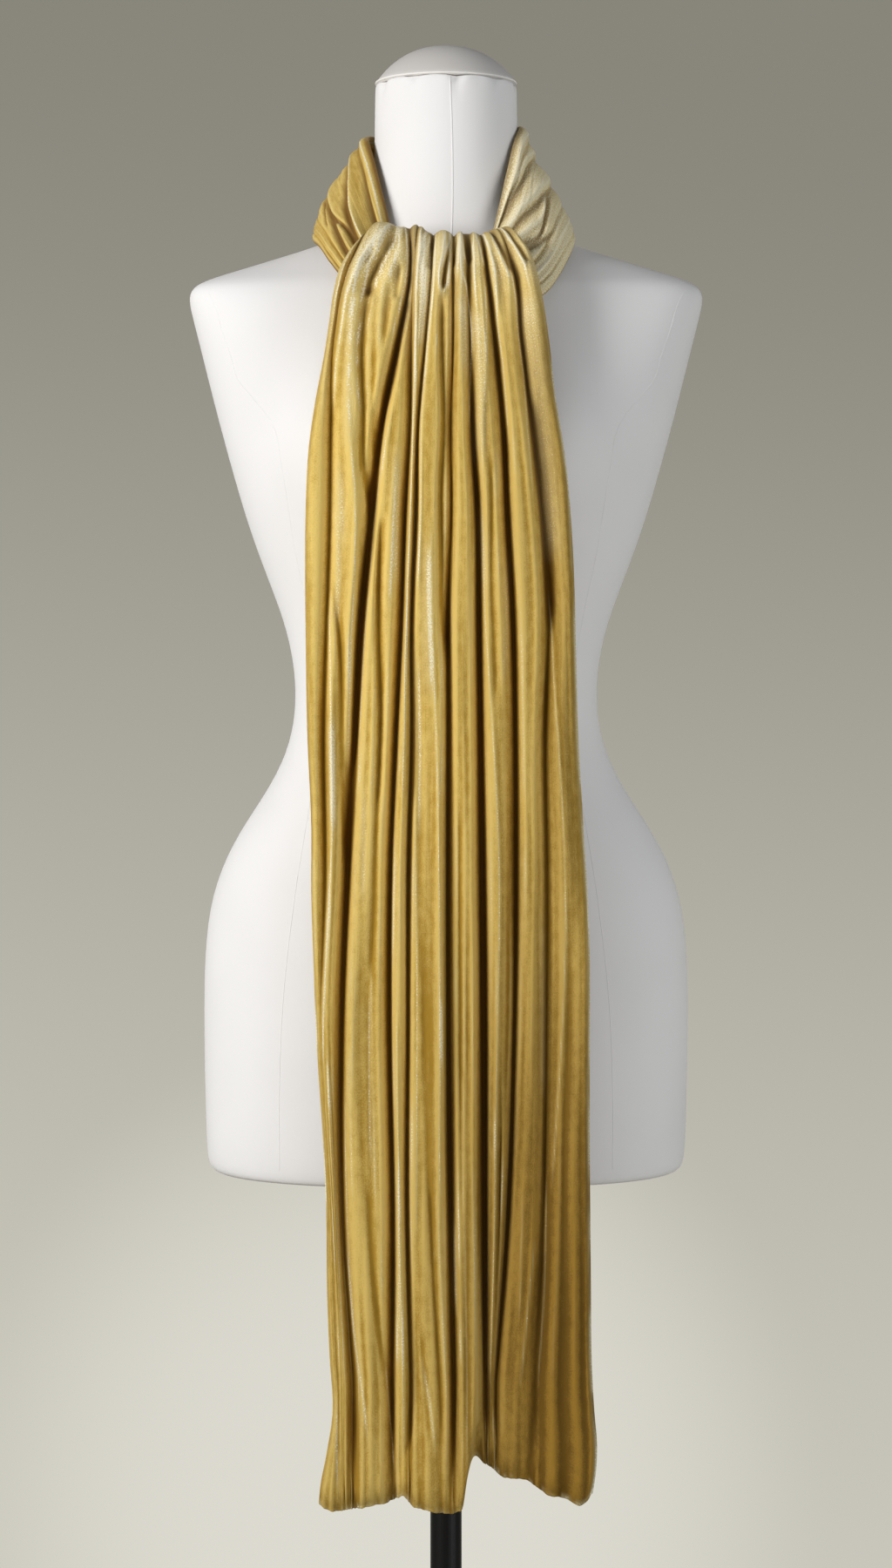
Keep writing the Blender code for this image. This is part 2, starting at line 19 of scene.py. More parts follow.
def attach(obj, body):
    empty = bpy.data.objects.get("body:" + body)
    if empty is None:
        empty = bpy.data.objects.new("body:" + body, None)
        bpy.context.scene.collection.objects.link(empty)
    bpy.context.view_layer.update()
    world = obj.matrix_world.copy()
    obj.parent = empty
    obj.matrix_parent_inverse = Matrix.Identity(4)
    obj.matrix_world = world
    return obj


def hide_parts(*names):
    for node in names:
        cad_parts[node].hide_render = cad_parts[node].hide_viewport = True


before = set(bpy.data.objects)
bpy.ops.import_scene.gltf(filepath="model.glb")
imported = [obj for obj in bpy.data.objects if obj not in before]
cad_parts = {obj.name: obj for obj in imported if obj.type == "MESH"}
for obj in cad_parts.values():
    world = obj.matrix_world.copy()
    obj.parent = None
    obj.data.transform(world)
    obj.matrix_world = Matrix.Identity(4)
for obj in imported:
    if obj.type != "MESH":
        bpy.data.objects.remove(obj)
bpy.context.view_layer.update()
MM = 0.001
print("nodes:", ", ".join(sorted(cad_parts)))

# %% [markdown]
# ## Reading tables smoothly
# A maker notes a shape at a few heights and joins them by eye. `read` does the same:
# it draws a smooth curve through a table's rows and reads it at new places. `step` is
# the soft switch that most folds use to begin and to die away.


# %% Smooth tables and soft steps
def read(places, values, at):
    """A table's values at new places, on a smooth curve through its rows."""
    places = np.asarray(places, float)
    values = np.asarray(values, float)
    slopes = np.gradient(values, places, axis=0)
    at = np.clip(np.asarray(at, float), places[0], places[-1])
    low = np.clip(np.searchsorted(places, at, side="right") - 1, 0, len(places) - 2)
    span = places[low + 1] - places[low]
    t = (at - places[low]) / span
    if values.ndim == 2:
        t = t[:, None]
        span = span[:, None]
    rise = 3.0 * t**2 - 2.0 * t**3
    return (
        (1.0 - rise) * values[low]
        + rise * values[low + 1]
        + (t**3 - 2.0 * t**2 + t) * span * slopes[low]
        + (t**3 - t**2) * span * slopes[low + 1]
    )


def step(value):
    """0 below 0, 1 above 1, and a smooth rise between."""
    value = np.clip(value, 0.0, 1.0)
    return value * value * (3.0 - 2.0 * value)


def hump(distance, half_width, power=2.0):
    """1 at no distance, falling away past the half width."""
    return np.exp(-(np.abs(distance / half_width) ** power))


def streaks(down, columns, length, spread, seed):
    """Uneven streaks that run down the cloth: random across, smooth along it."""
    rng = np.random.default_rng(seed)
    keys = rng.standard_normal((int(np.ptp(down) / length) + 3, columns + 2 * spread))
    kernel = np.hanning(2 * spread + 1)
    keys = np.array([np.convolve(row, kernel, "valid") for row in keys])
    keys /= keys.std()
    place = (down - down.min()) / length
    low = place.astype(int)
    t = step(place - low)[:, None]
    return keys[low] * (1.0 - t) + keys[low + 1] * t


def facets(down, places, count, length, seed):
    """Flat facets across the cloth, between break lines that wander down it."""
    rng = np.random.default_rng(seed)
    centres = np.linspace(places[0], places[-1], count)
    shape = (int(np.ptp(down) / length) + 3, count)
    wander = rng.uniform(-0.42, 0.42, shape) * (centres[1] - centres[0])
    heights = rng.standard_normal(shape)
    place = (down - down.min()) / length
    low = place.astype(int)
    t = step(place - low)[:, None]
    breaks = centres + wander[low] * (1.0 - t) + wander[low + 1] * t
    heights = heights[low] * (1.0 - t) + heights[low + 1] * t
    return np.array([np.interp(places, b, h) for b, h in zip(breaks, heights)])


def tent(distance, left_reach, right_reach):
    """1 at no distance, falling in straight slopes to 0 at a reach on each side."""
    reach = np.where(distance < 0.0, left_reach, right_reach)
    return np.clip(1.0 - np.abs(distance) / reach, 0.0, 1.0)


def softened(grid, passes=1):
    """The grid with each row's sharp corners rounded a little."""
    for _ in range(passes):
        padded = np.pad(grid, ((0, 0), (1, 1)), mode="edge")
        grid = 0.25 * padded[:, :-2] + 0.5 * padded[:, 1:-1] + 0.25 * padded[:, 2:]
    return grid


def crests(rise, reach):
    """1 on the small crests, 0 in the small troughs and a half where the cloth is even."""
    return np.clip(0.5 + 0.5 * (rise - softened(rise, 12)) / reach, 0.0, 1.0)


print("a soft step at 0.25:", round(float(step(0.25)), 3))

# %% [markdown]
# ## Cloth as a flattened tube
# The real scarf is cut as one wide strip, folded lengthwise and sewn along one seam.
# So each stretch here is one sheet of points that starts at the seam in the middle of
# the back, turns round the left fold, crosses the front, turns round the right fold
# and comes back to the seam. The two seam edges lie a hair apart. Where a stretch
# ends, front and back curve together and are merged.


# %% The tube builder
SEAM_GAP = 0.3
# On small crests the velvet paints a highlight and in small troughs a shade; a crest this high gets the full
# painted highlight.
CREST_REACH = 0.9  # a crest this high over the cloth round it has the full light nap
END_STEPS = 4


def closed_end(front, back, direction):
    """Rows that carry the front and the back round a soft end until they meet."""
    middle = (front + back) / 2.0
    half = (front - back) / 2.0
    reach = np.linalg.norm(half, axis=1, keepdims=True)
    rows = []
    for number in range(1, END_STEPS + 1):
        angle = math.pi / 2.0 * number / END_STEPS
        end = middle + direction * reach * math.sin(angle)
        rows.append((end + half * math.cos(angle), end - half * math.cos(angle)))
    return rows


def fold_edge(front, back, outward):
    """Two columns that round the fold between a front edge and a back edge."""
    reach = np.linalg.norm(front - back, axis=1, keepdims=True) / 2.0
    first = front * 0.75 + back * 0.25 + outward * reach * 0.45
    second = front * 0.25 + back * 0.75 + outward * reach * 0.45
    return [first, second]


def ring(front, back, left_edge, right_edge):
    """One row of values, or a grid of them, in the order that the tube's columns have."""
    middle = front.shape[1] // 2
    return np.concatenate(
        [back[:, middle::-1]]
        + [column[:, None] for column in reversed(left_edge)]
        + [front]
        + [column[:, None] for column in right_edge]
        + [back[:, : middle - 1 : -1]],
        axis=1,
    )


def sewn(front, back, across):
    """The tube's points. Its seam edges lie a hair apart, except at the closed ends."""
    left = fold_edge(front[:, 0], back[:, 0], -across)
    right = fold_edge(front[:, -1], back[:, -1], across)
    points = ring(front, back, left, right)
    apart = np.zeros_like(points)
    apart[:, 0] = -across * SEAM_GAP / 2.0
    apart[:, -1] = across * SEAM_GAP / 2.0
    apart[0] = 0.0
    apart[-1] = 0.0
    return points + apart


def unfolded(front, points):
    """How far along the flat cloth each row lies, and how far round it each column."""
    along = np.linalg.norm(np.diff(front, axis=0), axis=2).mean(1)
    wide = np.linalg.norm(np.diff(points, axis=1), axis=2).mean(0)
    return np.append(0.0, np.cumsum(along)), np.append(0.0, np.cumsum(wide))


def store_flat(mesh, along, wide):
    """Keep each corner's place on the flat cloth, in metres, as the UV map `cloth`."""
    corners = np.array([loop.vertex_index for loop in mesh.loops])
    columns = len(wide)
    flat = np.stack([wide[corners % columns], along[corners // columns]], axis=1) * MM
    mesh.uv_layers.new(name="cloth").data.foreach_set("uv", flat.astype(np.float32).ravel())


def store_shades(mesh, shades):
    """Keep each named grid over the front as an attribute of the mesh's points."""
    for name, grid in shades.items():
        grid = np.pad(grid, ((END_STEPS, END_STEPS), (0, 0)), mode="edge")
        edges = [[grid[:, 0]] * 2, [grid[:, -1]] * 2]
        values = ring(grid, grid, *edges).astype(np.float32)
        mesh.attributes.new(name, "FLOAT", "POINT").data.foreach_set("value", values.ravel())


def close_ends(mesh, rim):
    """Merge the points in which the front and the back meet at the two ends."""
    maker = bmesh.new()
    maker.from_mesh(mesh)
    maker.verts.ensure_lookup_table()
    bmesh.ops.remove_doubles(maker, verts=[maker.verts[i] for i in rim], dist=1e-6)
    maker.to_mesh(mesh)
    maker.free()


def tube(name, front, back, shades, starts, ends, across):
    """A flattened tube of cloth from its front and back points, rows by columns.

    shades are named grids over the front; starts and ends are the directions in
    which the two ends close; across is the direction of the right edge.
    """
    first = closed_end(front[0], back[0], np.array(starts))[::-1]
    last = closed_end(front[-1], back[-1], np.array(ends))
    front = np.concatenate([[row[0] for row in first], front, [row[0] for row in last]])
    back = np.concatenate([[row[1] for row in first], back, [row[1] for row in last]])
    points = sewn(front, back, across)
    rows, columns = points.shape[:2]
    index = np.arange(rows * columns).reshape(rows, columns)
    faces = np.stack([index[:-1, :-1], index[1:, :-1], index[1:, 1:], index[:-1, 1:]], axis=-1)
    mesh = bpy.data.meshes.new(name)
    mesh.from_pydata(points.reshape(-1, 3) * MM, [], faces.reshape(-1, 4).tolist())
    along, wide = unfolded(front, points)
    store_flat(mesh, along, wide)
    store_shades(mesh, shades)
    close_ends(mesh, [*index[0], *index[-1]])
    mesh.shade_smooth()
    made = bpy.data.objects.new(name, mesh)
    bpy.context.scene.collection.objects.link(made)
    print(name, "triangles:", sum(len(p.vertices) - 2 for p in mesh.polygons))
    print(name, "unfolds to", round(float(wide[-1])), "by", round(float(along[-1])), "mm")
    return made


print("a closed end takes", END_STEPS, "rows")

# %% [markdown]
# ## The front fall's route
# Seen from the side, the cloth starts in a tuck behind the crossing, climbs, rolls
# over the top and drops to the hem. The table gives where the cloth's back lies, its
# two edges and how deep its pleats are. Distances down the cloth, `down`, count from
# the top of the roll.

# %% Route of the front fall
FallRow = namedtuple("FallRow", "depth height left right pleat")
FALL_ROWS = [
    FallRow(-79.5, 1396.0, -52.0, 46.0, 2.0),
    FallRow(-82.0, 1400.5, -53.0, 48.0, 3.0),
    FallRow(-87.0, 1403.5, -55.0, 50.0, 2.8),
    FallRow(-93.5, 1403.5, -58.0, 53.0, 3.4),
    FallRow(-99.0, 1400.5, -63.0, 57.0, 5.2),
    FallRow(-103.5, 1393.0, -70.0, 61.5, 7.6),
    FallRow(-106.5, 1382.0, -77.0, 65.5, 9.5),
    FallRow(-109.5, 1362.0, -82.5, 70.0, 11.0),
    FallRow(-113.5, 1340.0, -85.5, 73.5, 12.0),
    FallRow(-119.0, 1315.0, -89.0, 76.5, 13.0),
    FallRow(-125.5, 1282.0, -95.0, 80.0, 14.0),
    FallRow(-132.5, 1245.0, -100.0, 86.0, 14.0),
    FallRow(-136.0, 1205.0, -102.0, 90.0, 14.0),
    FallRow(-136.5, 1155.0, -102.5, 93.0, 14.0),
    FallRow(-136.5, 1100.0, -102.0, 94.5, 14.0),
    FallRow(-136.5, 1040.0, -101.0, 96.0, 14.0),
    FallRow(-136.5, 968.0, -98.0, 100.0, 14.0),
    FallRow(-136.5, 920.0, -98.0, 103.0, 14.0),
    FallRow(-136.5, 873.0, -96.5, 104.5, 14.0),
    FallRow(-136.5, 800.0, -93.5, 104.5, 14.0),
    FallRow(-136.5, 740.0, -89.5, 104.5, 14.0),
    FallRow(-136.5, 682.0, -87.0, 105.0, 14.0),
    FallRow(-136.5, 630.0, -86.5, 105.5, 14.0),
    FallRow(-136.5, 580.0, -84.5, 106.0, 13.0),
    FallRow(-136.5, 540.0, -82.5, 108.0, 12.0),
    FallRow(-136.5, 512.0, -87.0, 110.0, 11.0),
    FallRow(-136.5, 492.0, -91.0, 109.0, 9.0),
    FallRow(-136.5, 478.0, -92.5, 107.0, 7.0),
]


def lengths_from_top(depths, heights):
    """How far down the cloth each row lies from the top of the roll."""
    steps = np.hypot(np.diff(depths), np.diff(heights))
    along = np.concatenate([[0.0], np.cumsum(steps)])
    return along - along[int(np.argmax(heights))]


def route_normals(depth, height, down):
    """The y and z of the direction that points out of the cloth at each row."""
    slope_y = np.gradient(depth[:, 0], down)[:, None]
    slope_z = np.gradient(height[:, 0], down)[:, None]
    slope = np.hypot(slope_y, slope_z)
    return slope_z / slope, -slope_y / slope


fall_table = np.array(FALL_ROWS)
fall_places = lengths_from_top(fall_table[:, 0], fall_table[:, 1])
FALL_LENGTH = float(fall_places[-1])
print("from the roll's top to the hem:", round(FALL_LENGTH), "mm")

# %% [markdown]
# ## The long valleys
# Eight valleys run most of the way down between the pleats. Each row says how far
# right of the middle a valley lies at twelve places down the cloth, in millimetres,
# and then half its floor's width and its share of the pleat's depth at four stages,
# the widths of its left and right walls, and how far the cloth leans over it.

# %% Valleys between the pleats
VALLEY_DOWN = [0, 14, 30, 90, 155, 220, 300, 380, 475, 600, 730, 855]
STAGES = [30, 170, 420, 820]
Valley = namedtuple("Valley", "name places floor share left_wall right_wall lean")
VALLEYS = [
    Valley("left_lip",
           (-54.3, -61.5, -69.5, -82.0, -84.5, -85.1, -87.4, -89.6, -88.3, -90.8, -83.2, -77.5),
           (0.2, 0.4, 0.6, 0.4), (0.45, 0.50, 0.50, 0.30), 5.0, 6.0, 0.5),
    Valley("left_main",
           (-26.6, -26.4, -26.4, -34.8, -47.0, -54.0, -61.9, -66.1, -71.2, -76.2, -75.3, -66.7),
           (0.6, 1.1, 1.3, 0.7), (0.90, 1.00, 0.95, 0.80), 7.5, 5.0, -0.4),
    Valley("left_inner",
           (-20.0, -21.5, -23.0, -25.4, -26.2, -29.6, -32.5, -36.5, -40.5, -41.3, -38.8, -39.4),
           (0.3, 0.3, 0.6, 0.6), (0.55, 0.85, 0.85, 0.80), 7.0, 3.5, 0.4),
    Valley("middle_left",
           (-9.0, -10.0, -10.5, -15.0, -20.4, -22.0, -25.3, -25.3, -27.6, -28.0, -28.6, -26.0),
           (0.2, 0.2, 0.3, 0.4), (0.65, 0.70, 0.65, 0.60), 4.0, 3.5, 0.4),
    Valley("middle",
           (5.8, 5.4, 5.1, 5.1, 3.8, 3.8, 1.6, 1.6, 1.3, 1.6, 3.2, 5.7),
           (0.2, 0.2, 0.6, 0.8), (0.60, 0.65, 0.85, 0.85), 4.5, 5.0, 0.4),
    Valley("right_main",
           (17.5, 17.0, 16.4, 17.6, 19.1, 22.9, 24.1, 25.1, 26.2, 27.2, 28.0, 28.6),
           (0.3, 0.6, 1.2, 1.0), (0.70, 0.92, 1.00, 0.90), 6.2, 6.2, 0.8),
    Valley("right_inner",
           (23.0, 26.5, 29.3, 36.2, 42.1, 45.0, 49.2, 50.8, 51.3, 50.2, 45.5, 36.5),
           (0.3, 0.9, 0.7, 0.5), (0.90, 0.98, 0.90, 0.75), 7.5, 5.2, 0.6),
    Valley("right_outer",
           (34.0, 42.0, 48.3, 55.2, 62.3, 69.5, 74.5, 72.0, 73.0, 72.6, 71.0, 66.0),
           (0.3, 0.4, 0.4, 0.4), (0.90, 0.85, 0.70, 0.55), 8.0, 11.0, 0.4),
]
print(len(VALLEYS), "valleys make", len(VALLEYS) + 1, "pleats")

# %% [markdown]
# ## Ridges and short creases
# Between the valleys the pressed pleats leave sharp ridges that catch the light, and
# creases that begin and end part of the way. Each row gives a path of (down, pleat)
# points, where pleat 2.3 lies three tenths of the way across the third pleat, and
# then its half width and rise in millimetres and how strong the painted highlight along its edge is.

# %% Table of ridges and creases
Crease = namedtuple("Crease", "path half_width rise pale")
CREASES = [
    Crease(((0, 1.60), (12, 1.50), (25, 1.24), (46, 1.13), (92, 1.09), (140, 1.05)), 1.6, 3.2, 0.95),
    Crease(((8, 1.50), (16, 1.38), (24, 1.31), (34, 1.25)), 0.9, -3.4, 0.0),
    Crease(((20, 1.38), (31, 1.23), (46, 1.19), (63, 1.21), (92, 1.26), (140, 1.33), (220, 1.62),
            (400, 1.81)), 1.4, 2.8, 0.9),
    Crease(((12, 1.54), (18, 1.46), (26, 1.40)), 1.6, 3.2, 0.9),
    Crease(((8, 1.62), (15, 1.55), (24, 1.46)), 0.8, -3.4, 0.0),
    Crease(((23, 1.45), (31, 1.37), (42, 1.33), (56, 1.34), (75, 1.36), (101, 1.39), (153, 1.56)),
           1.2, 2.8, 0.9),
    Crease(((14, 1.68), (25, 1.55), (35, 1.46), (45, 1.39), (57, 1.38)), 2.4, -8.5, 0.0),
    Crease(((56, 1.385), (75, 1.395), (101, 1.44), (155, 1.62), (190, 1.72), (215, 1.90)), 1.5, -6.5, 0.0),
    Crease(((4, 1.64), (12, 1.72), (18, 1.69), (27, 1.61), (37, 1.54), (50, 1.50)), 1.6, 2.8, 0.8),
    Crease(((50, 1.47), (73, 1.49), (101, 1.55), (155, 1.72)), 1.2, 1.4, 0.5),
    Crease(((52, 1.56), (73, 1.57), (101, 1.64), (155, 1.81), (175, 1.86)), 0.8, -3.4, 0.0),
    Crease(((50, 1.63), (73, 1.65), (101, 1.73), (150, 1.92)), 1.2, 1.8, 0.6),
    Crease(((48, 1.71), (73, 1.74), (95, 1.80)), 0.8, -2.8, 0.0),
    Crease(((2, 1.79), (12, 1.80), (18, 1.78), (30, 1.74), (44, 1.70)), 1.3, 1.8, 0.6),
    Crease(((10, 1.87), (25, 1.89), (38, 1.90)), 0.7, -3.4, 0.0),
    Crease(((34, 1.81), (45, 1.82), (60, 1.85)), 1.4, -4.0, 0.0),
    Crease(((-4, 1.84), (4, 1.86), (16, 1.93), (30, 1.95), (60, 1.94), (90, 1.90), (130, 1.89)),
           1.0, 2.4, 1.0),
    Crease(((150, 2.31), (190, 2.18), (221, 2.09), (270, 2.13)), 0.9, 1.2, 0.7),
    Crease(((270, 2.16), (316, 2.11), (380, 2.12), (425, 2.15)), 0.9, 1.3, 0.8),
    Crease(((225, 2.28), (262, 2.33), (315, 2.45), (368, 2.57), (430, 2.60)), 1.3, -6.0, 0.0),
    Crease(((200, 2.67), (285, 2.68)), 1.7, 0.8, 1.0),
    Crease(((430, 2.60), (507, 2.63), (552, 2.60)), 0.9, -2.6, 0.0),
    Crease(((560, 2.27), (640, 2.22), (715, 2.20)), 1.0, 1.0, 0.6),
    Crease(((560, 2.62), (640, 2.64), (720, 2.66)), 0.8, 1.2, 0.7),
    Crease(((565, 2.55), (640, 2.57), (720, 2.59)), 0.8, -2.0, 0.0),
    Crease(((640, 2.10), (729, 2.08), (793, 2.08), (870, 2.12)), 0.9, 1.4, 0.85),
    Crease(((715, 2.53), (793, 2.60), (856, 2.80)), 1.0, -2.8, 0.0),
    Crease(((755, 2.75), (790, 2.76)), 1.1, 1.0, 0.8),
    Crease(((845, 2.84), (888, 2.97), (914, 3.08)), 0.8, 1.2, 0.8),
    Crease(((4, 3.85), (16, 3.53), (29, 3.29), (40, 3.18), (73, 3.22), (155, 3.34), (208, 3.46),
            (315, 3.49), (425, 3.60)), 1.0, 1.9, 0.95),
    Crease(((13, 3.98), (22, 3.86), (30, 3.78), (36, 3.80)), 0.9, -4.5, 0.0),
    Crease(((455, 3.35), (475, 3.38), (600, 3.42)), 1.2, 0.8, 0.4),
    Crease(((590, 3.40), (665, 3.43), (730, 3.45), (856, 3.62), (900, 3.66)), 0.9, 1.4, 0.85),
    Crease(((46, 4.14), (73, 4.10), (101, 4.08), (155, 4.10), (208, 4.13), (275, 4.16)), 0.9, 1.7, 0.95),
    Crease(((6, 4.92), (18, 4.78), (29, 4.55), (37, 4.40), (46, 4.38), (56, 4.48)), 1.3, 2.8, 0.9),
    Crease(((14, 4.78), (31, 4.67), (45, 4.57), (52, 4.54)), 1.0, -7.0, 0.0),
    Crease(((14, 4.93), (30, 4.86), (46, 4.74), (57, 4.60)), 1.1, 2.2, 0.8),
    Crease(((62, 4.54), (75, 4.54), (101, 4.60), (155, 4.76), (208, 4.68), (262, 4.77), (320, 4.88)),
           1.5, -5.5, 0.0),
    Crease(((4, 5.50), (16, 5.54), (33, 5.54), (39, 5.58), (48, 5.82), (58, 5.93), (155, 5.86)),
           1.2, 2.4, 0.9),
    Crease(((14, 5.16), (24, 5.10), (34, 5.04)), 0.7, -3.5, 0.0),
    Crease(((2, 5.60), (12, 5.66), (23, 5.84), (31, 6.02)), 1.0, -5.0, 0.0),
    Crease(((235, 4.45), (300, 4.57), (348, 4.63), (412, 4.71), (507, 4.80), (720, 4.76)), 1.0, 1.4, 0.85),
    Crease(((430, 4.15), (475, 4.19), (540, 4.23), (665, 4.23), (740, 4.22)), 0.9, 1.2, 0.8),
    Crease(((715, 4.54), (793, 4.60), (856, 4.68), (890, 4.72)), 1.0, -2.8, 0.0),
    Crease(((720, 4.72), (800, 4.76), (870, 4.84)), 1.2, 1.0, 0.7),
    Crease(((820, 4.28), (890, 4.42)), 0.9, -2.2, 0.0),
    Crease(((856, 4.38), (895, 4.58)), 0.8, 1.0, 0.8),
    Crease(((440, 5.35), (600, 5.35), (730, 5.30)), 0.8, -1.6, 0.0),
    Crease(((640, 5.42), (730, 5.38)), 0.8, 0.9, 0.6),
    Crease(((740, 5.13), (800, 5.12)), 0.9, 0.8, 1.0),
    Crease(((735, 5.40), (900, 5.42)), 1.0, 1.0, 0.5),
    Crease(((735, 5.72), (900, 5.75)), 1.0, 1.0, 0.5),
    Crease(((0, 6.42), (10, 6.52), (22, 6.72), (34, 6.84)), 1.2, 2.0, 0.7),
    Crease(((50, 6.78), (73, 6.71), (101, 6.60), (155, 6.33), (200, 6.20)), 1.0, 1.8, 0.9),
    Crease(((185, 6.52), (208, 6.48), (262, 6.38), (315, 6.40), (350, 6.42)), 1.2, -3.2, 0.0),
    Crease(((215, 6.14), (300, 6.18), (348, 6.28), (475, 6.50), (602, 6.45), (850, 6.42)), 1.1, 1.4, 0.8),
    Crease(((0, 7.05), (18, 7.14), (35, 7.26), (54, 7.22), (75, 7.15), (110, 7.16), (160, 7.14)),
           1.0, 2.0, 0.9),
    Crease(((6, 7.40), (20, 7.50), (32, 7.64), (44, 7.74)), 1.0, 2.4, 0.9),
    Crease(((6, 7.50), (17, 7.60), (29, 7.73), (38, 7.80)), 1.0, -5.0, 0.0),
    Crease(((38, 7.84), (54, 7.88), (95, 7.90), (119, 7.92), (153, 7.85), (200, 7.80)), 1.0, 1.9, 0.8),
    Crease(((720, 7.38), (800, 7.46)), 1.0, 1.0, 0.5),
    Crease(((755, 7.78), (793, 7.70), (824, 7.65), (850, 7.60)), 1.0, 1.5, 0.8),
    Crease(((0, 8.06), (12, 8.12), (18, 8.18), (25, 8.36), (36, 8.50)), 1.2, 2.4, 0.7),
    Crease(((4, 8.22), (16, 8.41), (23, 8.53), (31, 8.64)), 1.1, -5.0, 0.0),
    Crease(((140, 8.35), (221, 8.30), (300, 8.15)), 4.0, -5.0, 0.0),
    Crease(((285, 8.06), (330, 8.20), (385, 8.40), (430, 8.46), (570, 8.41), (700, 8.19)), 1.0, 1.5, 0.75),
    Crease(((715, 8.05), (793, 8.07), (850, 8.03)), 1.0, 1.0, 0.6),
    Crease(((290, 1.08), (316, 1.13), (380, 1.25), (430, 1.33), (475, 1.26), (540, 1.16), (620, 1.04)),
           1.2, 1.7, 1.0),
    Crease(((280, 1.20), (316, 1.42), (380, 1.60), (430, 1.66), (470, 1.75)), 1.3, -4.0, 0.0),
    Crease(((630, 1.45), (665, 1.37), (730, 1.40), (850, 1.35)), 1.0, 1.2, 0.7),
]
CREASE_FADE = 28.0  # the most gradual way in which a ridge or crease begins and ends
FADE_SHARE = 0.22  # a short one begins and ends over this share of its length
print(len(CREASES), "ridges and creases")

# %% [markdown]
# ## Painted sheen on crushed nap
# Where the pile has been brushed the other way, its sheen is painted on as a pale patch
# with soft edges. Each has a path like a ridge's, half its width and how strong its painted sheen is.

# %% Table of pale patches
NapSheenPatch = namedtuple("NapSheenPatch", "path half_width pale")
NAP_SHEEN_PATCHES = [
    NapSheenPatch(((60, 0.45), (150, 0.50)), 3.0, 0.30),
    NapSheenPatch(((60, 1.20), (110, 1.30), (170, 1.40)), 4.5, 0.45),
    NapSheenPatch(((190, 1.20), (241, 1.32)), 3.5, 0.55),
    NapSheenPatch(((370, 1.26), (450, 1.34)), 2.6, 1.00),
    NapSheenPatch(((480, 1.22), (590, 1.12)), 1.2, 0.80),
    NapSheenPatch(((60, 2.70), (110, 2.75)), 3.0, 0.35),
    NapSheenPatch(((180, 2.65), (270, 2.80)), 3.5, 0.60),
    NapSheenPatch(((425, 2.30), (500, 2.38)), 2.2, 0.50),
    NapSheenPatch(((20, 3.60), (60, 3.75), (100, 3.60)), 4.5, 0.60),
    NapSheenPatch(((245, 4.40), (300, 4.50), (350, 4.58)), 2.4, 0.85),
    NapSheenPatch(((240, 4.30), (300, 4.40), (350, 4.46)), 5.5, 0.32),
    NapSheenPatch(((215, 1.15), (260, 1.28), (300, 1.30)), 2.4, 0.55),
    NapSheenPatch(((330, 4.20), (400, 4.24), (450, 4.26)), 1.3, 0.70),
    NapSheenPatch(((520, 7.86), (590, 7.90), (640, 7.92)), 2.0, 0.35),
    NapSheenPatch(((60, 5.60), (120, 5.70)), 4.0, 0.55),
    NapSheenPatch(((70, 6.30), (120, 6.35), (180, 6.20)), 5.0, 0.55),
    NapSheenPatch(((175, 6.76), (210, 6.62)), 2.2, 0.50),
    NapSheenPatch(((225, 6.13), (275, 6.18)), 2.4, 0.60),
    NapSheenPatch(((255, 6.87), (290, 6.80), (340, 6.70)), 2.4, 0.50),
    NapSheenPatch(((60, 8.35), (110, 8.40), (190, 8.35), (250, 8.30)), 7.0, 0.50),
    NapSheenPatch(((575, 2.58), (690, 2.58)), 1.0, 0.70),
    NapSheenPatch(((700, 3.36), (760, 3.40), (840, 3.38)), 1.2, 0.70),
    NapSheenPatch(((760, 2.06), (834, 2.11), (890, 2.35)), 1.1, 0.80),
    NapSheenPatch(((738, 5.11), (795, 5.09)), 1.4, 0.60),
    NapSheenPatch(((845, 4.30), (872, 4.47), (890, 4.53)), 1.1, 0.80),
    NapSheenPatch(((870, 0.50), (925, 0.90)), 1.1, 0.70),
]
NAP_SHEEN_FADE = 26.0
EDGE_SHEEN = 1.5  # how far the pale rim reaches in from the right edge
print(len(NAP_SHEEN_PATCHES), "pale patches")

# %% [markdown]
# ## The roll's top and the hem
# The roll isn't level: each tucked fold makes its own small bump. The closed end at
# the hem hangs in three lobes, and the middle one swings forward. Both outlines are
# short tables of what the cloth does across its width.

# %% Outlines of the roll and the hem
RollBump = namedtuple("RollBump", "x rise")
ROLL_BUMPS = [
    RollBump(-58.0, 2.5),
    RollBump(-51.0, 6.6),
    RollBump(-45.0, 5.6),
    RollBump(-36.0, 2.0),
    RollBump(-28.0, 3.4),
    RollBump(-21.0, 5.8),
    RollBump(-13.0, -0.6),
    RollBump(0.0, -0.8),
    RollBump(6.0, -2.6),
    RollBump(14.0, -0.8),
    RollBump(24.0, -1.4),
    RollBump(38.0, 2.7),
    RollBump(47.0, 2.7),
    RollBump(54.0, -1.5),
]
ROLL_REACH = 24.0  # how far down the cloth the bumps are felt

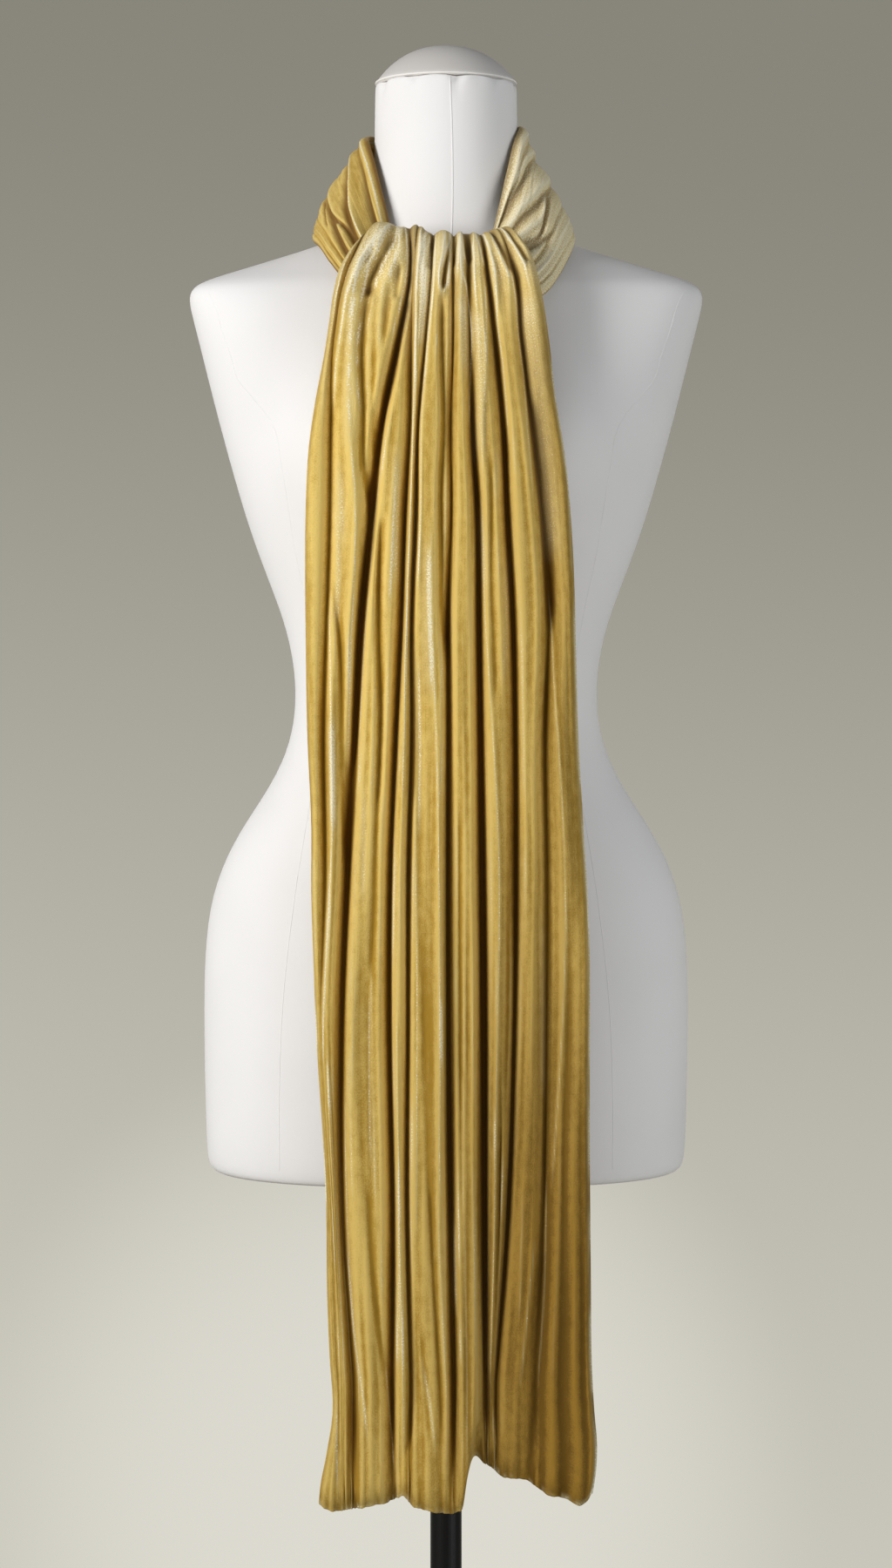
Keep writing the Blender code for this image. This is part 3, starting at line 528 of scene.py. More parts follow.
HemPoint = namedtuple("HemPoint", "across height bulge")  # across in hundredths
HEM = [
    HemPoint(0.0, 474.0, 0.0),
    HemPoint(4.5, 469.5, 0.0),
    HemPoint(10.0, 470.5, 0.0),
    HemPoint(19.0, 473.5, 0.0),
    HemPoint(25.0, 476.0, 0.0),
    HemPoint(28.7, 479.5, 0.5),
    HemPoint(30.0, 481.5, 5.0),
    HemPoint(34.6, 473.6, 9.0),
    HemPoint(38.4, 472.4, 10.5),
    HemPoint(45.0, 469.7, 11.0),
    HemPoint(50.6, 471.0, 9.5),
    HemPoint(52.8, 476.0, 8.0),
    HemPoint(54.0, 492.0, 4.0),
    HemPoint(55.2, 503.0, 0.0),
    HemPoint(60.8, 503.6, 0.0),
    HemPoint(67.0, 495.0, 0.0),
    HemPoint(76.5, 491.5, 0.0),
    HemPoint(81.6, 484.0, 0.0),
    HemPoint(89.6, 479.0, 0.0),
    HemPoint(97.0, 475.0, 0.0),
    HemPoint(100.0, 482.0, 0.0),
]
HEM_REACH = 90.0  # how far above the hem its lobes begin
print("hem from", min(p.height for p in HEM), "to", max(p.height for p in HEM), "mm")

# %% [markdown]
# ## Shaping the front fall
# The cloth is a grid: its rows follow the route and its columns follow the pleats, so
# they crowd together where the pleats do. A column's place is counted in pleats.

# %% Rows and columns of the front fall
PLEAT_COLUMNS = [16, 30, 32, 24, 36, 32, 34, 28, 34]
ROLL_ROWS = 2.1  # millimetres between rows over the roll
BODY_ROWS = 96
HEM_ROWS = 20
ROLL_END = 75.0
HEM_START = FALL_LENGTH - 36.0


def pleat_columns():
    """Each column's place in pleats, closer together beside the valleys."""
    places = []
    for pleat, count in enumerate(PLEAT_COLUMNS):
        t = np.arange(count) / count
        places.append(pleat + 0.55 * t + 0.45 * (0.5 - 0.5 * np.cos(math.pi * t)))
    return np.concatenate(places + [[len(PLEAT_COLUMNS)]])


def fall_rows_down():
    """Rows close together at the roll and the hem, and wider apart between them."""
    roll = np.arange(fall_places[0], ROLL_END, ROLL_ROWS)
    body = np.linspace(ROLL_END, HEM_START, BODY_ROWS)
    hem = np.linspace(HEM_START, FALL_LENGTH, HEM_ROWS)
    return np.concatenate([roll, body[:-1], hem])


down = fall_rows_down()
pleats = pleat_columns()
row_values = read(fall_places, fall_table, down)
depth, height, left, right, pleat = (column[:, None] for column in row_values.T)
valley_lines = [read(VALLEY_DOWN, v.places, down)[:, None] for v in VALLEYS]
anchors = np.concatenate([left, *valley_lines, right], axis=1)
marks = np.arange(anchors.shape[1])
x = np.array([np.interp(pleats, marks, row) for row in anchors])
print("front fall grid:", x.shape, "with", len(PLEAT_COLUMNS), "pleats")

# %% [markdown]
# ### Valleys cut into a plateau
# Each row's section starts as a level plateau as high as the pleats are deep. Valleys
# are cut into it with sloping walls, and the pleats crown between them. Over the roll
# the valleys are only narrow slits, because the cloth puffs out where it bends.

# %% Cut the valleys and crown the pleats
CROWN = 1.6
NOTCH_POWER = 1.4  # above 1, a valley is sharp at its bottom and rounds over at its top
HEM_FADE = 0.5  # how much of the pleats' depth is lost at the hem
TOP_SHARE = 0.45  # how much of a valley's depth it has on the roll's very top
SLIT_SHARE = 0.6  # how wide a valley's walls are there

plateau = np.ones_like(x)
lean = np.zeros_like(x)
hem_fade = 1.0 - HEM_FADE * step((down - FALL_LENGTH + 60.0) / 56.0)[:, None]
top_fade = TOP_SHARE + (1.0 - TOP_SHARE) * step((down - 2.0) / 20.0)[:, None]
slit = SLIT_SHARE + (1.0 - SLIT_SHARE) * step((down - 14.0) / 76.0)[:, None]
for number, valley in enumerate(VALLEYS):
    floor = read(STAGES, valley.floor, down)[:, None]
    share = read(STAGES, valley.share, down)[:, None]
    distance = x - anchors[:, number + 1][:, None]
    past_floor = np.sign(distance) * np.maximum(np.abs(distance) - floor, 0.0)
    notch = tent(past_floor, valley.left_wall * slit, valley.right_wall * slit) ** NOTCH_POWER
    plateau *= 1.0 - share * hem_fade * top_fade * notch
    lean += valley.lean * share * hump(distance, floor + 2.5)
between_valleys = pleats - np.floor(pleats)
gap = np.diff(anchors, axis=1)[:, np.minimum(pleats.astype(int), len(PLEAT_COLUMNS) - 1)]
crown = CROWN * np.clip(gap / 22.0, 0.3, 1.3) * np.sin(math.pi * between_valleys) ** 0.8
rise = pleat * plateau + crown * plateau
print("highest pleat:", round(float(rise.max()), 1), "mm")

# %% [markdown]
# ### Ridges, creases and small pleats
# A ridge has a long slope on its left and a short one on its right, as a pressed pleat
# has, and a crease the other way round. The smallest pleats are too many for a table:
# uneven facets and streaks stand for them, stronger low down, where the pressing shows.

# %% Ridges and creases
RIDGE_SIDES = (6.0, 2.2)  # the left and the right slope, in half widths
CREASE_SIDES = (2.2, 4.5)


def followed(path, fade):
    """Each point's distance from a path's line, and where the path shows, from 0 to 1."""
    table = np.array(path)
    places = read(table[:, 0], table[:, 1], down)
    centre = np.array([np.interp(p, marks, row) for p, row in zip(places, anchors)])
    shown = step((down - table[0, 0]) / fade + 0.5) * step((table[-1, 0] - down) / fade + 0.5)
    return x - centre[:, None], shown[:, None]


pale = np.zeros_like(x)
for crease in CREASES:
    fade = min(CREASE_FADE, FADE_SHARE * (crease.path[-1][0] - crease.path[0][0]))
    distance, shown = followed(crease.path, fade)
    broad, steep = RIDGE_SIDES if crease.rise > 0.0 else CREASE_SIDES
    fold = shown * tent(distance, broad * crease.half_width, steep * crease.half_width)
    rise += crease.rise * fold * np.clip(pleat / 8.0, 0.3, 1.3) * hem_fade
    # Painted highlight: a pale line along each ridge's edge.
    ridge_highlight = shown * hump(distance, 0.55 * crease.half_width)
    pale = np.maximum(pale, crease.pale * ridge_highlight)
print("rise with its ridges:", round(float(rise.max()), 1), "mm")

# %% [markdown]
# ### Small pressed pleats
# Facets give the flat, hard-edged look of pressing, and streaks soften their sameness.
# They need room: where the big pleats stand close together, the small ones fade.

# %% Small pressed pleats
fine = streaks(down, len(pleats), 90.0, 2, 11)
narrow_facets = facets(down, pleats, 64, 120.0, 12)
wide_facets = facets(down, pleats, 25, 210.0, 13)
top_gathers = facets(down, pleats, 40, 30.0, 16) * hump(down - 8.0, 34.0)[:, None]
crinkled = 0.45 + 0.55 * step((down - 120.0) / 300.0)[:, None]
lower_share = step((down - 230.0) / 330.0)[:, None]
soft_ridges = streaks(down, len(pleats), 230.0, 4, 19) * lower_share
small_pleats = (0.12 * fine + (0.6 + 0.7 * lower_share) * narrow_facets) * crinkled
small_pleats += (0.5 + 0.6 * crinkled + 0.5 * lower_share) * wide_facets + 0.9 * soft_ridges
room = np.clip(gap / 20.0, 0.1, 1.0)
rise += small_pleats * room * (0.25 + 0.75 * plateau) + 0.5 * top_gathers
rise = softened(np.maximum(rise, 0.0))
print("small pleats up to", round(float(np.abs(small_pleats).max()), 1), "mm")

# %% [markdown]
# ### Front and back
# The back follows the deepest of the front near it, so that the cloth stays one thin
# shell. The front rounds over at the two side folds and curves in at the hem.


# %% Front and back of the cloth
CLOTH = 3.0
EDGE_RADIUS = 4.5
HEM_ROUND = 16.0  # over this length the front curves back to the closed hem


def behind(rise, window, thickness):
    """The back of the cloth: below the lowest part of the front within the window."""
    padded = np.pad(rise, ((0, 0), (window, window)), mode="edge")
    lowest = np.lib.stride_tricks.sliding_window_view(padded, 2 * window + 1, axis=1).min(-1)
    kernel = np.hanning(2 * window + 3)[1:-1]
    kernel /= kernel.sum()
    padded = np.pad(lowest, ((0, 0), (window, window)), mode="edge")
    soft = np.array([np.convolve(row, kernel, "valid") for row in padded])
    return np.minimum(soft, rise) - thickness


from_edge = np.minimum(x - left, right - x)
turn = np.clip(1.0 - from_edge / EDGE_RADIUS, 0.0, 1.0)
hem_turn = np.clip((down - FALL_LENGTH + HEM_ROUND) / HEM_ROUND, 0.0, 1.0)[:, None]
round_off = np.sqrt(1.0 - 0.85 * hem_turn**2)
rise_front = CLOTH + rise * (1.0 - turn**2.5 * 0.75) * round_off
rise_back = np.maximum(behind(rise_front, 4, CLOTH - 0.4), 0.2)
x_front = x + lean * plateau
print("cloth at its thinnest:", round(float((rise_front - rise_back).min()), 1), "mm")

# %% [markdown]
# ### Painted light and shade on the cloth
# Where the cloth bends sharply over a crest, a painted glint shows pale, and the rims and
# the roll get a painted pale sheen. Painted shade darkens the cloth low down and on the right, where less
# light reaches it, and just above the hem. These values are stored on the points and read by the velvet, so
# that they move with the cloth.


# %% Painted highlights and shade
PLEAT_DEPTH = 14.0  # the rise that counts as fully out of the valleys


def crest_glints(rise, across, reach):
    """Where the cloth bends over a sharp crest, from 0 to 1."""
    padded = np.pad(rise, ((0, 0), (reach, reach)), mode="edge")
    bend = 2.0 * rise - padded[:, : -2 * reach] - padded[:, 2 * reach :]
    span = np.maximum(np.gradient(across, axis=1) * reach, 0.3)
    return np.clip(bend / span**2 * 0.9 - 0.25, 0.0, 1.0)


# Painted glints: pale lines where the cloth bends sharply over a crest.
glints = crest_glints(rise, x, 2) * step(0.30 + 0.6 * streaks(down, len(pleats), 38.0, 3, 17))
pale = np.maximum(pale, glints)
# Painted sheen: pale patches where the nap is crushed.
for patch in NAP_SHEEN_PATCHES:
    distance, shown = followed(patch.path, NAP_SHEEN_FADE)
    pale = np.maximum(pale, patch.pale * shown * hump(distance, patch.half_width, 3.0))
relief = np.clip(rise / PLEAT_DEPTH, 0.0, 1.0)
# Painted sheen over the top of the roll.
roll_sheen = hump(down - 8.0, 56.0)[:, None] * (0.45 + 0.55 * step(relief * 1.3 - 0.15))
# Painted sheen along the hem's edge.
hem_sheen = step(0.4 + 0.5 * streaks(down, len(pleats), 6.0, 2, 20))
hem_sheen *= step((down - FALL_LENGTH + 4.0) / 4.0)[:, None]
# Painted sheen: a pale rim along the right edge.
edge_sheen = hump(right - x, EDGE_SHEEN) * step((down - 60.0) / 60.0)[:, None]
edge_sheen *= step(0.75 + 0.5 * streaks(down, len(pleats), 26.0, 5, 18))
# Painted shade: the cloth darkens low down, on the right and on the outer pleat.
right_side = step((x - left) / (right - left) * 1.6 - 0.35)
outer_pleat = step((pleats - 7.75) / 0.6)[None, :]
low_down = step((down - 240.0) / 560.0)[:, None]
right_painted_shade = (0.26 * right_side + 0.30 * outer_pleat) * step((down - 30.0) / 90.0)[:, None]
painted_shade = np.maximum(low_down * (0.25 + 0.75 * right_side), right_painted_shade)
# Painted shade just above the hem.
hem_shade = hump(down - FALL_LENGTH + 3.0, 12.0)[:, None] * (0.75 - 0.45 * relief)
# The painted sheens of the roll, the right edge and the hem, added to the paleness.
rim_sheen = 0.8 * roll_sheen + 0.8 * edge_sheen + 0.6 * hem_sheen
fall_shades = {
    "relief": relief,
    "pale": np.clip(pale * (1.0 - 0.4 * painted_shade) + rim_sheen, 0.0, 1.0),
    "painted_shade": np.maximum(painted_shade, hem_shade),
    "crest": crests(rise, CREST_REACH),
}
print("mean paleness:", round(float(fall_shades["pale"].mean()), 2))

# %% [markdown]
# ## Laying the fall on its route
# The shaped section is carried along the route's normal. The roll's bumps lift it at
# the top, and the hem's lobes lower and swing it at the bottom.

# %% Lay the front fall on its route
hem_across, hem_heights, hem_bulges = np.array(HEM).T
hem_level = fall_table[-1, 1]
near_hem = step((hem_level + HEM_REACH - height) / HEM_REACH)
across_share = (x - left) / (right - left) * 100.0
hem_height = read(hem_across, hem_heights, across_share)
hem_bulge = read(hem_across, hem_bulges, across_share)
bump_places, bump_rises = np.array(ROLL_BUMPS).T
roll_rise = read(bump_places, bump_rises, x) * hump(down, ROLL_REACH)[:, None]
normal_y, normal_z = route_normals(depth, height, down)
gathers = streaks(down, len(pleats), 24.0, 2, 14)
gathers *= step((down - FALL_LENGTH + 30.0) / 24.0)[:, None]


def laid(x_now, rise_now):
    """Points of the fall from their place across and their rise off its back."""
    out = rise_now + hem_bulge * near_hem
    y = depth + normal_y * out
    z = height + (hem_height - hem_level) * near_hem + normal_z * out + roll_rise
    return np.stack([x_now, y, z], axis=2)


front_fall = tube(
    "front_fall_cloth",
    laid(x_front, rise_front + 0.5 * gathers),
    laid(x, rise_back),
    fall_shades,
    (0.0, 0.3, -0.95),
    (0.0, 0.0, -1.0),
    np.array([1.0, 0.0, 0.0]),
)

# %% [markdown]
# ## The two stretches round the neck
# Behind the neck the same tube stands up like a cowl. A table gives its top edge, its
# middle and its low edge at each turn round the neck, from the crossing on the right
# (turn 15) through the back (180) to the crossing on the left (344). Its folds run
# along it, and they crowd together towards the crossing.

# %% Route of the neck stretches
NeckRow = namedtuple("NeckRow", "turn top_r top_z high_r high_z mid_r mid_z low_r low_z")
NECK_ROWS = [
    NeckRow(14.8, 81.0, 1390.0, 87.0, 1383.0, 92.0, 1374.0, 100.0, 1357.0),
    NeckRow(27.0, 74.0, 1408.0, 84.0, 1396.0, 94.0, 1380.0, 106.0, 1352.0),
    NeckRow(34.0, 69.0, 1426.0, 83.0, 1409.0, 96.0, 1390.0, 111.0, 1357.0),
    NeckRow(42.0, 65.0, 1448.0, 81.0, 1428.0, 95.0, 1405.0, 113.0, 1367.0),
    NeckRow(50.0, 62.5, 1466.0, 77.0, 1444.0, 92.0, 1420.0, 110.0, 1380.0),
    NeckRow(60.0, 60.0, 1484.0, 71.0, 1462.0, 86.5, 1438.0, 106.0, 1395.0),
    NeckRow(75.0, 58.0, 1497.0, 66.5, 1475.0, 81.5, 1451.0, 100.0, 1409.0),
    NeckRow(92.0, 57.5, 1503.0, 65.0, 1480.0, 79.0, 1456.0, 95.0, 1416.6),
    NeckRow(120.0, 58.5, 1505.0, 65.5, 1483.0, 78.5, 1461.0, 94.0, 1420.0),
    NeckRow(150.0, 60.5, 1505.0, 67.0, 1484.0, 78.5, 1464.0, 92.0, 1422.0),
    NeckRow(180.0, 62.0, 1503.0, 68.5, 1484.0, 78.0, 1466.0, 88.0, 1424.0),
    NeckRow(210.0, 61.0, 1502.0, 68.0, 1482.0, 80.0, 1462.0, 93.0, 1422.0),
    NeckRow(240.0, 60.0, 1499.0, 69.5, 1479.0, 83.0, 1459.0, 97.0, 1420.0),
    NeckRow(268.0, 60.0, 1495.0, 70.5, 1476.0, 85.0, 1455.0, 98.0, 1414.4),
    NeckRow(285.0, 61.5, 1487.0, 74.0, 1467.0, 90.0, 1446.0, 103.0, 1411.0),
    NeckRow(300.0, 63.0, 1469.0, 78.0, 1452.0, 93.0, 1432.0, 108.0, 1402.0),
    NeckRow(310.0, 65.0, 1450.0, 81.0, 1435.0, 96.0, 1418.0, 112.0, 1389.0),
    NeckRow(318.0, 67.0, 1430.0, 83.0, 1417.0, 97.0, 1402.0, 113.0, 1376.0),
    NeckRow(326.0, 72.0, 1408.0, 84.0, 1398.0, 95.0, 1386.0, 110.0, 1366.0),
    NeckRow(333.0, 78.0, 1397.0, 86.0, 1389.0, 93.0, 1379.0, 105.0, 1360.0),
    NeckRow(344.0, 83.0, 1389.0, 88.0, 1383.0, 92.0, 1375.0, 100.0, 1358.0),
]
NeckFold = namedtuple("NeckFold", "path above below rise pale")
NECK_FOLDS = [
    NeckFold(((20, 0.03), (42, 0.04), (60, 0.05), (90, 0.06), (180, 0.06)), 2.0, 3.0, 1.2, 0.9),
    NeckFold(((30, 0.05), (50, 0.09), (65, 0.12), (90, 0.13), (180, 0.13)), 1.5, 5.0, -2.4, 0.0),
    NeckFold(((40, 0.04), (52, 0.11), (60, 0.15), (90, 0.24), (180, 0.25)), 7.0, 2.0, 1.6, 0.8),
    NeckFold(((36, 0.08), (52, 0.17), (60, 0.21), (90, 0.29), (140, 0.30), (185, 0.31)),
             1.6, 8.0, -3.4, 0.0),
    NeckFold(((26, 0.14), (42, 0.24), (50, 0.31), (60, 0.39), (90, 0.44), (180, 0.46)), 7.0, 2.0, 1.8, 0.6),
    NeckFold(((24, 0.18), (42, 0.29), (50, 0.36), (60, 0.44), (90, 0.49), (185, 0.51)), 1.6, 7.0, -3.2, 0.0),
    NeckFold(((30, 0.36), (38, 0.43), (46, 0.53), (54, 0.51), (64, 0.50)), 1.5, 4.0, -4.6, 0.0),
    NeckFold(((28, 0.46), (38, 0.49), (44, 0.56), (52, 0.64)), 2.5, 3.5, -4.0, 0.0),
    NeckFold(((26, 0.31), (40, 0.38), (48, 0.46), (60, 0.47)), 4.0, 1.5, 1.6, 0.8),
    NeckFold(((20, 0.62), (60, 0.66), (110, 0.68), (180, 0.66)), 2.5, 4.0, -1.4, 0.0),
    NeckFold(((20, 0.74), (60, 0.78), (110, 0.80), (180, 0.80)), 3.0, 2.0, 1.0, 0.4),
    NeckFold(((30, 0.86), (80, 0.90), (130, 0.90)), 1.5, 3.0, -1.4, 0.0),
    NeckFold(((180, 0.06), (270, 0.05), (300, 0.05), (312, 0.06), (318, 0.08), (332, 0.12)),
             2.0, 4.0, 1.5, 0.9),
    NeckFold(((180, 0.13), (270, 0.11), (300, 0.12), (315, 0.15), (334, 0.19)), 1.5, 6.0, -2.2, 0.0),
    NeckFold(((175, 0.27), (230, 0.25), (270, 0.20), (295, 0.27), (306, 0.36), (322, 0.42), (336, 0.45)),
             8.0, 2.0, 2.2, 1.0),
    NeckFold(((175, 0.32), (230, 0.30), (270, 0.25), (295, 0.32), (306, 0.41), (322, 0.48), (336, 0.51)),
             1.5, 6.0, -3.6, 0.0),
    NeckFold(((297, 0.59), (304, 0.56), (313, 0.51), (322, 0.54)), 2.0, 3.0, -4.5, 0.0),
    NeckFold(((180, 0.50), (240, 0.49), (270, 0.46), (298, 0.53), (314, 0.60), (338, 0.65)),
             8.0, 2.0, 1.5, 0.3),
    NeckFold(((180, 0.55), (240, 0.54), (270, 0.51), (298, 0.58), (314, 0.66), (338, 0.71)),
             1.5, 8.0, -3.4, 0.0),
    NeckFold(((284, 0.58), (290, 0.63), (298, 0.70)), 1.5, 3.0, -4.2, 0.0),
    NeckFold(((250, 0.72), (290, 0.76), (320, 0.80)), 1.2, 2.5, -1.2, 0.0),
    NeckFold(((230, 0.80), (290, 0.85), (330, 0.88)), 3.0, 1.5, 0.8, 0.2),
    NeckFold(((262, 0.90), (300, 0.92), (330, 0.94)), 1.2, 2.5, -1.2, 0.0),
]
NECK_FADE = 7.0  # degrees over which a fold begins and ends
print(len(NECK_FOLDS), "folds along the neck stretches")

# %% [markdown]
# ## Shaping the neck stretches
# The grid's stations go round the neck and its columns from the low edge to the top.
# The section is a smooth curve through the table's four points, and the folds are
# tents laid along it, deeper in front, where the cloth is pulled towards the crossing.


# %% The neck's section and its folds
NECK_CLOTH = 2.4
NECK_PLUMP = 3.2
NECK_EDGE = 5.0  # over this distance the two long edges round away
NECK_COLUMNS = 110
NECK_STATIONS = 190
SECTION_PLACES = [0.0, 0.25, 0.5, 1.0]  # where the table's top, high, mid and low lie

neck_table = np.array(NECK_ROWS)
neck_turns = np.linspace(neck_table[0, 0], neck_table[-1, 0], NECK_STATIONS)
neck_rows = read(neck_table[:, 0], neck_table[:, 1:], neck_turns)
neck_shares = np.linspace(1.0, 0.0, NECK_COLUMNS)
neck_radius = np.array([read(SECTION_PLACES, row[0::2], neck_shares) for row in neck_rows])
neck_height = np.array([read(SECTION_PLACES, row[1::2], neck_shares) for row in neck_rows])
spacing_r = np.gradient(neck_radius, axis=1)
spacing_z = np.gradient(neck_height, axis=1)
spacing = np.hypot(spacing_r, spacing_z)
neck_lengths = spacing.sum(1)[:, None]


def neck_folded():
    """How high the cloth rises off its section, and where painted highlights lie along its folds."""
    rise = np.full_like(neck_radius, NECK_PLUMP)
    pale = np.zeros_like(neck_radius)
    depth_share = 0.7 + 0.8 * step((np.abs(neck_turns - 180.0) - 105.0) / 30.0)
    for fold in NECK_FOLDS:
        turns, shares = np.array(fold.path).T
        centre = read(turns, shares, neck_turns)
        begun = step((neck_turns - turns[0]) / NECK_FADE + 0.5)
        shown = begun * step((turns[-1] - neck_turns) / NECK_FADE + 0.5)
        distance = (neck_shares - centre[:, None]) * neck_lengths
        depth = (depth_share * shown)[:, None]
        rise += fold.rise * depth * tent(distance, fold.above, fold.below)
        pale = np.maximum(pale, fold.pale * shown[:, None] * hump(distance, 0.8))
    return rise, pale


neck_rise, neck_pale = neck_folded()
round_neck = neck_turns * 1.4  # the turns as millimetres along the cloth, about
neck_rise += 0.14 * streaks(round_neck, NECK_COLUMNS, 60.0, 2, 31)
neck_rise += 0.30 * facets(round_neck, neck_shares[::-1], 24, 70.0, 32)
neck_rise += 0.45 * facets(round_neck, neck_shares[::-1], 9, 90.0, 33)
neck_rise = softened(np.clip(neck_rise, -0.1, 8.0))
from_rim = np.minimum(neck_shares, 1.0 - neck_shares) * neck_lengths
neck_rise -= 3.0 * np.clip(1.0 - from_rim / NECK_EDGE, 0.0, 1.0) ** 2
print("neck cloth is", round(float(neck_lengths.max())), "mm high at most")

# %% [markdown]
# ### Laying the neck stretches
# The pile of the right stretch runs the other way; its pale look there is a painted
# sheen that grows from the back of the neck round to that side. Painted highlights lie along the crests of
# the folds, and on small crests.

# %% Lay the neck stretches
NECK_DEPTH = 5.5  # the rise that counts as fully out of the folds


def neck_laid(offset):
    """Points of the neck stretches from their rise off the section."""
    angle = np.radians(neck_turns)[:, None]
    out = neck_radius + spacing_z / spacing * offset
    up = neck_height - spacing_r / spacing * offset
    return np.stack([out * np.sin(angle), -out * np.cos(angle), up], axis=2)


neck_front = neck_laid(neck_rise)
neck_relief = np.clip(neck_rise / NECK_DEPTH, 0.0, 1.0)
neck_crest = crests(neck_rise, CREST_REACH)
# Painted sheen: the right stretch grows paler from the back of the neck round to its side.
right_sheen = step((150.0 - neck_turns) / 60.0)[:, None]
neck_sheen = 0.1 + neck_pale + 0.12 * neck_crest
neck_sheen += right_sheen * (0.42 + 0.4 * neck_relief - 0.3 * neck_pale)
neck_shades = {
    "relief": neck_relief,
    "pale": np.clip(neck_sheen, 0.0, 1.0),
    "painted_shade": np.zeros_like(neck_relief),
    "crest": neck_crest,
}
edge_way = neck_front[:, -1] - neck_front[:, -6]
edge_way /= np.linalg.norm(edge_way, axis=1, keepdims=True)
edge_way = np.pad(edge_way, ((END_STEPS, END_STEPS), (0, 0)), mode="edge")
neck_cloth = tube(
    "neck_stretches_cloth",
    neck_front,
    neck_laid(behind(neck_rise, 4, NECK_CLOTH)),
    neck_shades,
    (-0.9, 0.1, -0.2),
    (0.9, 0.1, -0.2),
    edge_way,
)

# %% [markdown]
# ## The scarf's other end, behind the fall
# The front fall hides this end, so it is finished plainly: the same pleated tube with
# seven soft folds, shorter and narrower, closed at the bottom.

# %% The hidden end
UnderRow = namedtuple("UnderRow", "depth height left right")
UNDER_ROWS = [
    UnderRow(-89.0, 1355.6, -24.0, 24.0),
    UnderRow(-92.0, 1340.0, -34.0, 34.0),
    UnderRow(-100.0, 1315.0, -46.0, 46.0),
    UnderRow(-112.0, 1285.0, -58.0, 58.0),
    UnderRow(-121.3, 1257.0, -66.0, 66.0),
    UnderRow(-126.0, 1230.0, -71.0, 72.0),
    UnderRow(-127.8, 1190.0, -74.0, 76.0),
    UnderRow(-127.8, 1100.0, -76.0, 79.0),
    UnderRow(-127.8, 980.0, -76.0, 82.0),
    UnderRow(-127.8, 860.0, -75.0, 84.0),
    UnderRow(-127.8, 740.0, -72.0, 85.0),
    UnderRow(-127.8, 640.0, -70.0, 85.0),
    UnderRow(-127.8, 603.0, -71.0, 86.0),
]
UNDER_COLUMNS = 120
UNDER_STATIONS = 110
UNDER_CLOTH = 2.2
UNDER_FOLDS = 7

under_table = np.array(UNDER_ROWS)
under_places = lengths_from_top(under_table[:, 0], under_table[:, 1])
under_down = np.linspace(0.0, under_places[-1], UNDER_STATIONS)
under_values = read(under_places, under_table, under_down)
under_depth, under_height, under_left, under_right = (column[:, None] for column in under_values.T)
under_y, under_z = route_normals(under_depth, under_height, under_down)
under_share = np.linspace(0.0, 1.0, UNDER_COLUMNS)[None, :]
under_x = under_left + under_share * (under_right - under_left)
fold_count = UNDER_FOLDS * under_share + 0.035 * streaks(under_down, UNDER_COLUMNS, 260.0, 20, 21)
under_rise = 3.0 * (0.5 - 0.5 * np.cos(2.0 * math.pi * fold_count))
under_rise += 0.25 * streaks(under_down, UNDER_COLUMNS, 90.0, 2, 22)
under_front = np.clip(under_rise, 0.0, 3.4) + UNDER_CLOTH


def under_laid(rise_now):
    """Points of the hidden end from their rise off its back."""
    y = under_depth + under_y * rise_now
    z = under_height + under_z * rise_now
    return np.stack([under_x, y, z], axis=2)


under_fall = tube(
    "under_fall_cloth",
    under_laid(under_front),
    under_laid(behind(under_front, 2, UNDER_CLOTH)),
    {
        "relief": (under_front - UNDER_CLOTH) / 4.0,
        "pale": np.zeros_like(under_front),
        # Painted shade: the hidden end is darkened all over.
        "painted_shade": np.full_like(under_front, 0.6),
        "crest": np.full_like(under_front, 0.5),
    },
    (0.0, 0.0, 1.0),
    (0.0, 0.0, -1.0),
    np.array([1.0, 0.0, 0.0]),
)

# %% [markdown]
# ## The gathered layers inside the roll
# Where the ends cross, the layers bunch into a lump that the roll hides. A sphere is
# stretched to its size and given a few gathers, so that the gaps show cloth.

# %% The crossing
CROSSING_CENTRE = (-1.0, -93.4, 1376.0)
CROSSING_HALF = (25.0, 15.5, 19.0)


def pick(name):
    """Make one object the only selected and active one."""
    bpy.ops.object.select_all(action="DESELECT")
    thing = bpy.data.objects[name]
    thing.select_set(True)
    bpy.context.view_layer.objects.active = thing
    return thing


def settle(name):
    """Name the new active object and put its place and size into its mesh."""
    made = bpy.context.view_layer.objects.active
    made.name = name
    made.data.name = name
    bpy.ops.object.transform_apply(location=True, rotation=True, scale=True)
    return made


bpy.ops.object.select_all(action="DESELECT")
bpy.ops.mesh.primitive_uv_sphere_add(
    segments=72,
    ring_count=36,
    radius=1.0,
    location=[value * MM for value in CROSSING_CENTRE],
    scale=[value * MM for value in CROSSING_HALF],
)
crossing = settle("crossing_gathers")
for point in crossing.data.vertices:
    way = point.co - Vector(CROSSING_CENTRE) * MM
    gather = math.sin(way.z / MM * 1.1 + 0.25 * way.x / MM)
    point.co -= way * (0.03 + 0.03 * gather)
crossing.data.shade_smooth()
print("crossing:", len(crossing.data.vertices), "points")

# %% [markdown]
# ## The dress form
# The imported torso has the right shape, as loose triangles. A copy is merged, its
# triangles are paired into quads and two levels of subdivision round it, so that the
# light runs over it softly.


